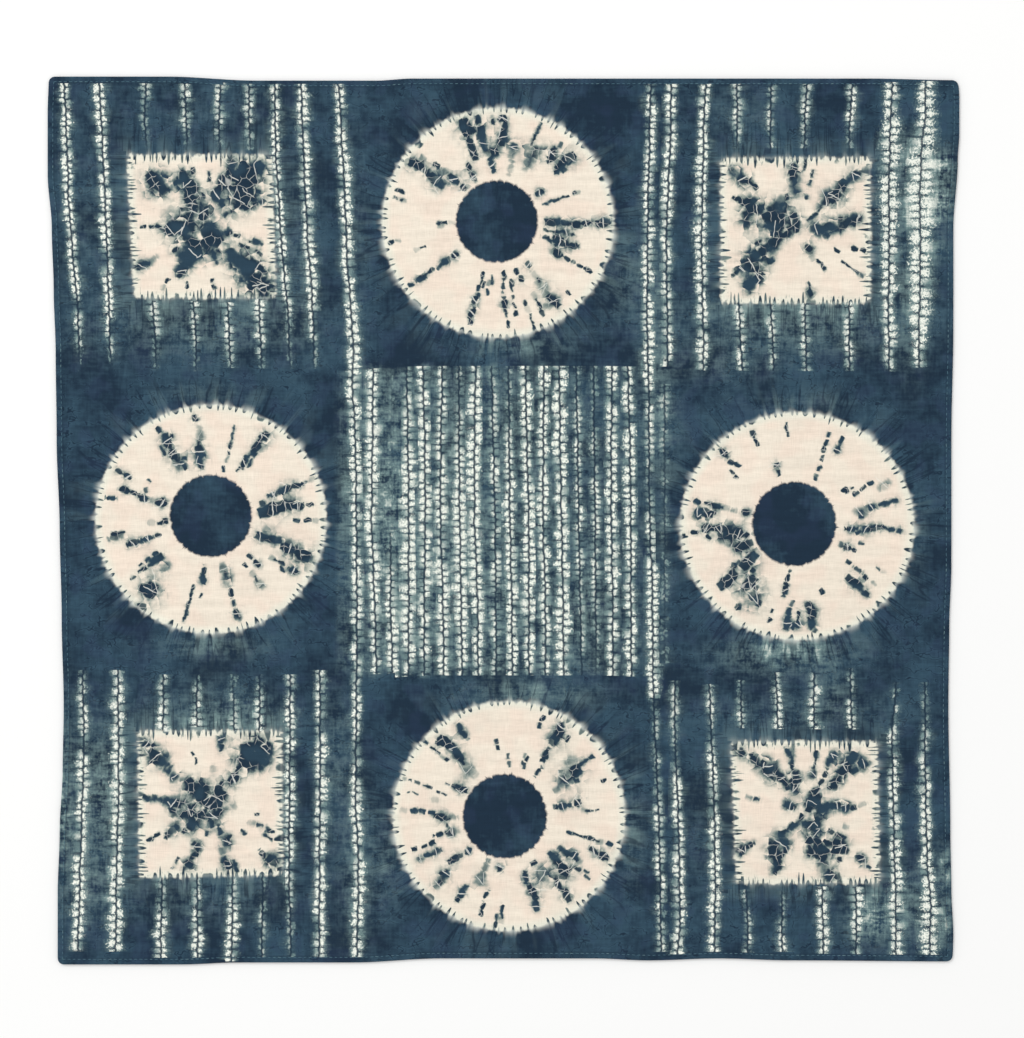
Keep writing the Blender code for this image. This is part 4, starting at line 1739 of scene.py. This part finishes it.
@dataclass
class ClothSheet:
    """The cloth: one sheet with narrow turned hems, closed all round."""

    outline: ClothOutline = field(default_factory=ClothOutline)
    relief: Relief = field(default_factory=Relief)
    chart: DyeChart = field(default_factory=DyeChart)
    finish: ResistDye = field(default_factory=ResistDye)
    field_columns: int = 204
    field_rows: int = 198
    hem_lines: tuple[float, ...] = (0.0, 0.0014, 0.0034, 0.0054, 0.0066, 0.0082)
    hem_width: float = 0.0065
    hem_step: float = 0.0016
    thickness: float = 0.0012
    hem_thickness: float = 0.0026
    rim_rounding: float = 0.0009
    rim_angle: float = 60.0
    rim_normal_limit: float = 0.75
    hem_slack: float = 0.0002
    rim_range: tuple[float, float] = (-2.0, 40.0)
    uv_rim_push: float = 1.4
    uv_margin: float = 0.010

    def build(self) -> bpy.types.Object:
        """Builds the sheet, charts the dye on it and dresses it.

        Returns:
            The cloth.
        """
        cloth = self._lay_out()
        self._thicken(cloth)
        self._chart_dye(cloth.data)
        self._unwrap(cloth.data)
        cloth.data.materials.clear()
        cloth.data.materials.append(self.finish.material())
        return cloth

    def shares(self, full_size: float, count: int) -> Points:
        """Shares of a side where the sheet's lines run: the hem's lines, then the field.

        Args:
            full_size: The side's length.
            count: How many parts the field has.

        Returns:
            The shares, 0 to 1.
        """
        hem = np.array(self.hem_lines) / full_size
        field_lines = np.linspace(hem[-1], 1.0 - hem[-1], count + 1)
        return np.concatenate([hem[:-1], field_lines, 1.0 - hem[:-1][::-1]])

    def top_height(self, x: Points, y: Points, from_rim: Points) -> Points:
        """Height of the cloth's face at places that lie from_rim inside the outline."""
        return self.relief.height(x, y) + self._layers(from_rim)

    def _layers(self, from_rim: Points) -> Points:
        """Thickness at distances inside the outline, stepped at the hem's inner edge."""
        step = smooth_step(self.hem_width + self.hem_step, self.hem_width - self.hem_slack, from_rim)
        return self.thickness + (self.hem_thickness - self.thickness) * step

    def _lay_out(self) -> bpy.types.Object:
        """Lays a grid out as the cloth's underside, with its hems marked.

        Returns:
            The cloth, still one layer.
        """
        columns = self.shares(self.outline.width, self.field_columns)
        rows = self.shares(self.outline.length, self.field_rows)
        bpy.ops.mesh.primitive_grid_add(
            x_subdivisions=len(columns) - 1, y_subdivisions=len(rows) - 1, size=1.0
        )
        cloth = bpy.context.object
        cloth.name = "dyed_cloth"
        cloth.data.name = "dyed_cloth"

        points = read_points(cloth.data)
        column = np.rint((points[:, 0] + 0.5) * (len(columns) - 1)).astype(int)
        row = np.rint((points[:, 1] + 0.5) * (len(rows) - 1)).astype(int)
        u, v = columns[column], rows[row]
        x, y = self.outline.place(u, v)
        points = np.column_stack([x, y, self.relief.height(x, y)])
        cloth.data.vertices.foreach_set("co", points.ravel())

        from_rim = np.minimum(
            np.minimum(u, 1.0 - u) * self.outline.width, np.minimum(v, 1.0 - v) * self.outline.length
        )
        layers = cloth.vertex_groups.new(name="layers")
        shares = np.round(self._layers(from_rim) / self.hem_thickness, 4)
        for share in np.unique(shares):
            layers.add([int(i) for i in np.flatnonzero(shares == share)], float(share), "REPLACE")
        return cloth

    def _thicken(self, cloth: bpy.types.Object) -> None:
        """Gives the sheet its thickness upwards and rounds its rim.

        Args:
            cloth: The sheet, laid out.
        """
        solid = cloth.modifiers.new("thickness", "SOLIDIFY")
        solid.thickness = self.hem_thickness
        solid.offset = 1.0
        solid.vertex_group = "layers"
        rim = cloth.modifiers.new("rounded_rim", "BEVEL")
        rim.width = self.rim_rounding
        rim.segments = 2
        rim.limit_method = "ANGLE"
        rim.angle_limit = math.radians(self.rim_angle)
        for name in ("thickness", "rounded_rim"):
            bpy.ops.object.modifier_apply(modifier=name)
        cloth.vertex_groups.clear()
        bpy.ops.object.shade_smooth()

    def _chart_dye(self, mesh: bpy.types.Mesh) -> None:
        """Writes the dye chart's layers on the mesh.

        Args:
            mesh: The cloth's mesh, in metres.
        """
        points = read_points(mesh) / MM
        corner_point, face_of_corner = read_corners(mesh)
        middles = np.zeros((len(mesh.polygons), 3))
        for axis in range(3):
            total = np.bincount(face_of_corner, weights=points[corner_point, axis])
            middles[:, axis] = total / np.bincount(face_of_corner)

        ground = np.zeros((len(points), 3))
        ground[:, 0] = self.chart.clouds(points[:, 0], points[:, 1])
        ground[:, 1] = self._from_rim(points)
        ground[:, 2] = self.chart.smudges(points[:, 0], points[:, 1])
        write_layer(mesh, Layer.GROUND.value, Domain.POINT, ground)

        corners = points[corner_point]
        sides = middles[face_of_corner]
        outline = self.chart.outline_layer(corners[:, 0], corners[:, 1], sides[:, 0], sides[:, 1])
        write_layer(mesh, Layer.OUTLINE.value, Domain.CORNER, outline)

        rows = self.chart.nearest_row(middles[:, 0], middles[:, 1])[face_of_corner]
        line, dye = self.chart.row_layers(rows, corners[:, 1])
        write_layer(mesh, Layer.ROW_LINE.value, Domain.CORNER, line)
        write_layer(mesh, Layer.ROW_DYE.value, Domain.CORNER, dye)
        for layer in self.chart.mark_layers(middles, corners, face_of_corner):
            layer.write(mesh)

    def _from_rim(self, points: Points) -> Points:
        """Distance in from the cloth's outline, in millimetres.

        Args:
            points: The places, in millimetres.

        Returns:
            The distances, negative outside.
        """
        x, y = points[:, 0] * MM, points[:, 1] * MM
        outline = self.outline
        left, right, bottom, top = outline.sides(x / outline.width + 0.5, y / outline.length + 0.5)
        nearest = np.minimum(np.minimum(x - left, right - x), np.minimum(y - bottom, top - y))
        return np.clip(nearest / MM, *self.rim_range)

    def _unwrap(self, mesh: bpy.types.Mesh) -> None:
        """Maps both faces of the cloth by their place, with the rim folded outwards.

        Args:
            mesh: The cloth's mesh, in metres.
        """
        points = read_points(mesh)
        corner_point, face_of_corner = read_corners(mesh)
        normals = np.zeros(len(mesh.polygons) * 3)
        mesh.polygons.foreach_get("normal", normals)
        out = normals.reshape(-1, 3)[face_of_corner]
        corners = points[corner_point]
        depth = np.clip(self.hem_thickness - corners[:, 2], 0.0, None)
        push = np.where(np.abs(out[:, 2]) < self.rim_normal_limit, depth * self.uv_rim_push, 0.0)
        span = max(self.outline.width, self.outline.length) + 2.0 * self.uv_margin
        uv = (corners[:, :2] + out[:, :2] * push[:, None]) / span + 0.5
        layer = mesh.uv_layers.new(name="OFBake")
        layer.data.foreach_set("uv", uv.ravel())


@dataclass(frozen=True)
class ThreadFinish:
    """Cotton sewing thread, dyed with the cloth or left pale."""

    colour: tuple = linear(78, 112, 126)
    worn: tuple = linear(112, 142, 148)
    roughness: float = 0.85
    specular: float = 0.2
    relief: float = 0.5
    ply_pitch: float = 0.5
    ply_height: float = 0.15
    wear_size: float = 14.0

    def material(self) -> bpy.types.Material:
        """Builds the thread's material.

        Returns:
            The material.
        """
        material, shader, sheet = new_material("hem_thread", self.roughness, self.specular)
        in_mm = sheet.in_mm()
        threads = sheet.group(bpy.data.node_groups["uneven_thread"], Point=in_mm, Pitch=self.ply_pitch)
        wear = sheet.noise(in_mm, self.wear_size, 3.0)
        colour = sheet.mix(wear.ramp(0.5, 0.75), self.colour, self.worn)
        sheet.feed(shader.inputs["Base Color"], colour)
        sheet.raise_surface(shader, self.relief, Wire(sheet, threads.outputs["Height"]) * self.ply_height)
        return material


@dataclass
class HemStitching:
    """Running stitches that hold the turned hem down, on all four sides."""

    sheet: ClothSheet
    finish: ThreadFinish = field(default_factory=ThreadFinish)
    inset: float = 0.0052
    pitch: float = 0.0050
    stitch_length: float = 0.0034
    thread: float = 0.00055
    length_range: tuple[float, float] = (0.8, 1.15)
    sway: float = 0.06
    seed: int = 41

    def build(self) -> bpy.types.Object:
        """Models one stitch and sets copies of it along the hems, as one joined mesh.

        Returns:
            The stitching.
        """
        stitch_points, stitch_faces = self._model_stitch()
        places, angles = self._line()
        draw = np.random.default_rng(self.seed)
        count = len(places)
        length = draw.uniform(*self.length_range, count)
        sway = draw.normal(0.0, self.sway, count)

        turned = angles + sway
        cos, sin = np.cos(turned)[:, None], np.sin(turned)[:, None]
        along = stitch_points[None, :, 0] * length[:, None]
        across = np.broadcast_to(stitch_points[None, :, 1], along.shape)
        x = places[:, 0:1] + along * cos - across * sin
        y = places[:, 1:2] + along * sin + across * cos
        z = places[:, 2:3] + stitch_points[None, :, 2]
        points = np.stack([x, y, z], axis=2).reshape(-1, 3)
        step = np.arange(count) * len(stitch_points)
        faces = [tuple(int(i + first) for i in face) for first in step for face in stitch_faces]

        mesh = bpy.data.meshes.new("hem_stitching")
        mesh.from_pydata(points.tolist(), [], faces)
        mesh.update()
        mesh.shade_smooth()
        stitching = bpy.data.objects.new("hem_stitching", mesh)
        bpy.context.scene.collection.objects.link(stitching)
        mesh.materials.append(self.finish.material())
        return stitching

    def _model_stitch(self) -> tuple[Points, list[tuple[int, ...]]]:
        """Models a stitch: a short rod of thread, bent down into the cloth at both ends.

        Returns:
            The stitch's points and faces.
        """
        bpy.ops.mesh.primitive_uv_sphere_add(segments=6, ring_count=5, radius=0.5)
        rod = bpy.context.object
        bpy.ops.transform.rotate(value=math.pi / 2, orient_axis="Y", center_override=(0, 0, 0))
        bpy.ops.object.transform_apply(location=True, rotation=True, scale=True)
        points = read_points(rod.data)
        points = points * np.array([self.stitch_length, self.thread * 1.2, self.thread])
        bend = (points[:, 0] / (self.stitch_length / 2)) ** 2
        points[:, 2] += self.thread * (0.30 - 0.55 * bend)
        faces = [tuple(face.vertices) for face in rod.data.polygons]
        bpy.data.objects.remove(rod)
        return points, faces

    def _line(self) -> tuple[Points, Points]:
        """Places and directions of the stitches along the four hems.

        Returns:
            The places in metres, and the directions in radians.
        """
        outline = self.sheet.outline
        places, angles = [], []
        for along_width in (True, False):
            size = outline.width if along_width else outline.length
            other = outline.length if along_width else outline.width
            count = int((size - 2.4 * self.inset) / self.pitch)
            run = np.linspace(1.2 * self.inset / size, 1.0 - 1.2 * self.inset / size, count)
            for side in (self.inset / other, 1.0 - self.inset / other):
                fixed = np.full_like(run, side)
                u, v = (run, fixed) if along_width else (fixed, run)
                x, y = outline.place(u, v)
                z = self.sheet.top_height(x, y, np.full_like(run, self.inset))
                places.append(np.column_stack([x, y, z]))
                angles.append(np.arctan2(np.gradient(y), np.gradient(x)))
        return np.concatenate(places), np.concatenate(angles)


def read_points(mesh: bpy.types.Mesh) -> Points:
    """A mesh's points as an array of (points, 3)."""
    points = np.zeros(len(mesh.vertices) * 3)
    mesh.vertices.foreach_get("co", points)
    return points.reshape(-1, 3)


def read_corners(mesh: bpy.types.Mesh) -> tuple[Points, Points]:
    """The point and the face of each face corner of a mesh.

    Args:
        mesh: The mesh.

    Returns:
        The points' numbers and the faces' numbers.
    """
    corner_point = np.zeros(len(mesh.loops), dtype=np.int32)
    mesh.loops.foreach_get("vertex_index", corner_point)
    corners = np.zeros(len(mesh.polygons), dtype=np.int32)
    mesh.polygons.foreach_get("loop_total", corners)
    return corner_point, np.repeat(np.arange(len(corners)), corners)


def write_layer(mesh: bpy.types.Mesh, name: str, domain: Domain, values: Points) -> None:
    """Writes a layer of vectors on a mesh."""
    layer = mesh.attributes.new(name=name, type="FLOAT_VECTOR", domain=domain.value)
    layer.data.foreach_set("vector", values.astype(np.float32).ravel())


@dataclass
class Studio:
    """A pale floor, soft light from all round and a camera straight overhead."""

    photo_pixel: float = 0.966 * MM
    photo_width: int = 1024
    photo_height: int = 1038
    cloth_middle_x: float = 503.5
    cloth_middle_y: float = 520.5
    lens: float = 85.0
    sensor: float = 36.0
    floor_size: float = 6.0
    floor_drop: float = 0.0004
    floor_colour: tuple = linear(251, 251, 250)
    sky_strength: float = 0.80
    lamp_power: float = 106.0
    lamp_size: float = 2.4
    lamp_place: tuple[float, float, float] = (-2.4, 2.8, 4.4)

    def build(self) -> None:
        """Sets up the floor, the lights and the camera."""
        self._floor()
        self._lights()
        self._camera()
        bpy.context.scene.view_settings.view_transform = "Standard"

    def _floor(self) -> None:
        """Lays the floor just under the cloth."""
        deselect_all()
        bpy.ops.mesh.primitive_plane_add(size=self.floor_size, location=(0.0, 0.0, -self.floor_drop))
        floor = bpy.context.object
        floor.name = "floor"
        bpy.ops.object.transform_apply(location=True, rotation=True, scale=True)
        material, shader, _ = new_material("pale_floor", roughness=0.9, specular=0.1)
        shader.inputs["Base Color"].default_value = self.floor_colour
        floor.data.materials.append(material)

    def _lights(self) -> None:
        """Lights the cloth by a white sky and one wide lamp."""
        world = bpy.data.worlds.new("soft_sky")
        world.use_nodes = True
        sky = world.node_tree.nodes["Background"]
        sky.inputs["Color"].default_value = (1.0, 1.0, 1.0, 1.0)
        sky.inputs["Strength"].default_value = self.sky_strength
        bpy.context.scene.world = world
        lamp_data = bpy.data.lights.new("wide_lamp", "AREA")
        lamp_data.size = self.lamp_size
        lamp_data.energy = self.lamp_power
        lamp = bpy.data.objects.new("wide_lamp", lamp_data)
        lamp.location = self.lamp_place
        lamp.rotation_euler = look_down(self.lamp_place)
        bpy.context.scene.collection.objects.link(lamp)

    def _camera(self) -> None:
        """Hangs the camera over the middle of the photo's frame."""
        frame_height = self.photo_height * self.photo_pixel
        middle_x = (self.photo_width / 2 - self.cloth_middle_x) * self.photo_pixel
        middle_y = (self.cloth_middle_y - self.photo_height / 2) * self.photo_pixel
        camera_data = bpy.data.cameras.new("overhead_camera")
        camera_data.lens = self.lens
        camera_data.sensor_width = self.sensor
        camera_data.sensor_fit = "AUTO"
        camera = bpy.data.objects.new("overhead_camera", camera_data)
        camera.location = (middle_x, middle_y, self.lens * frame_height / self.sensor)
        bpy.context.scene.collection.objects.link(camera)
        bpy.context.scene.camera = camera


def look_down(place: tuple[float, float, float]) -> tuple[float, float, float]:
    """The turn that points a lamp at the middle of the cloth from a place over it.

    Args:
        place: Where the lamp hangs.

    Returns:
        The turn about each axis, in radians.
    """
    x, y, z = place
    tilt = math.atan2(math.hypot(x, y), z)
    return (tilt, 0.0, math.atan2(y, x) + math.pi / 2)


def deselect_all() -> None:
    """Leaves nothing selected, so that an operator acts on its own new piece alone."""
    bpy.ops.object.select_all(action="DESELECT")


def main() -> None:
    """Builds the cloth and its stitching, and sets up the studio."""
    logging.basicConfig(level=logging.INFO, format="%(message)s")
    deselect_all()
    sheet = ClothSheet()
    cloth = sheet.build()
    deselect_all()
    stitching = HemStitching(sheet).build()

    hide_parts("cloth")
    for piece in (cloth, stitching):
        LOG.info("%s: %d faces", piece.name, len(piece.data.polygons))
        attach(piece, "root")
    Studio().build()


if __name__ == "__main__":
    main()
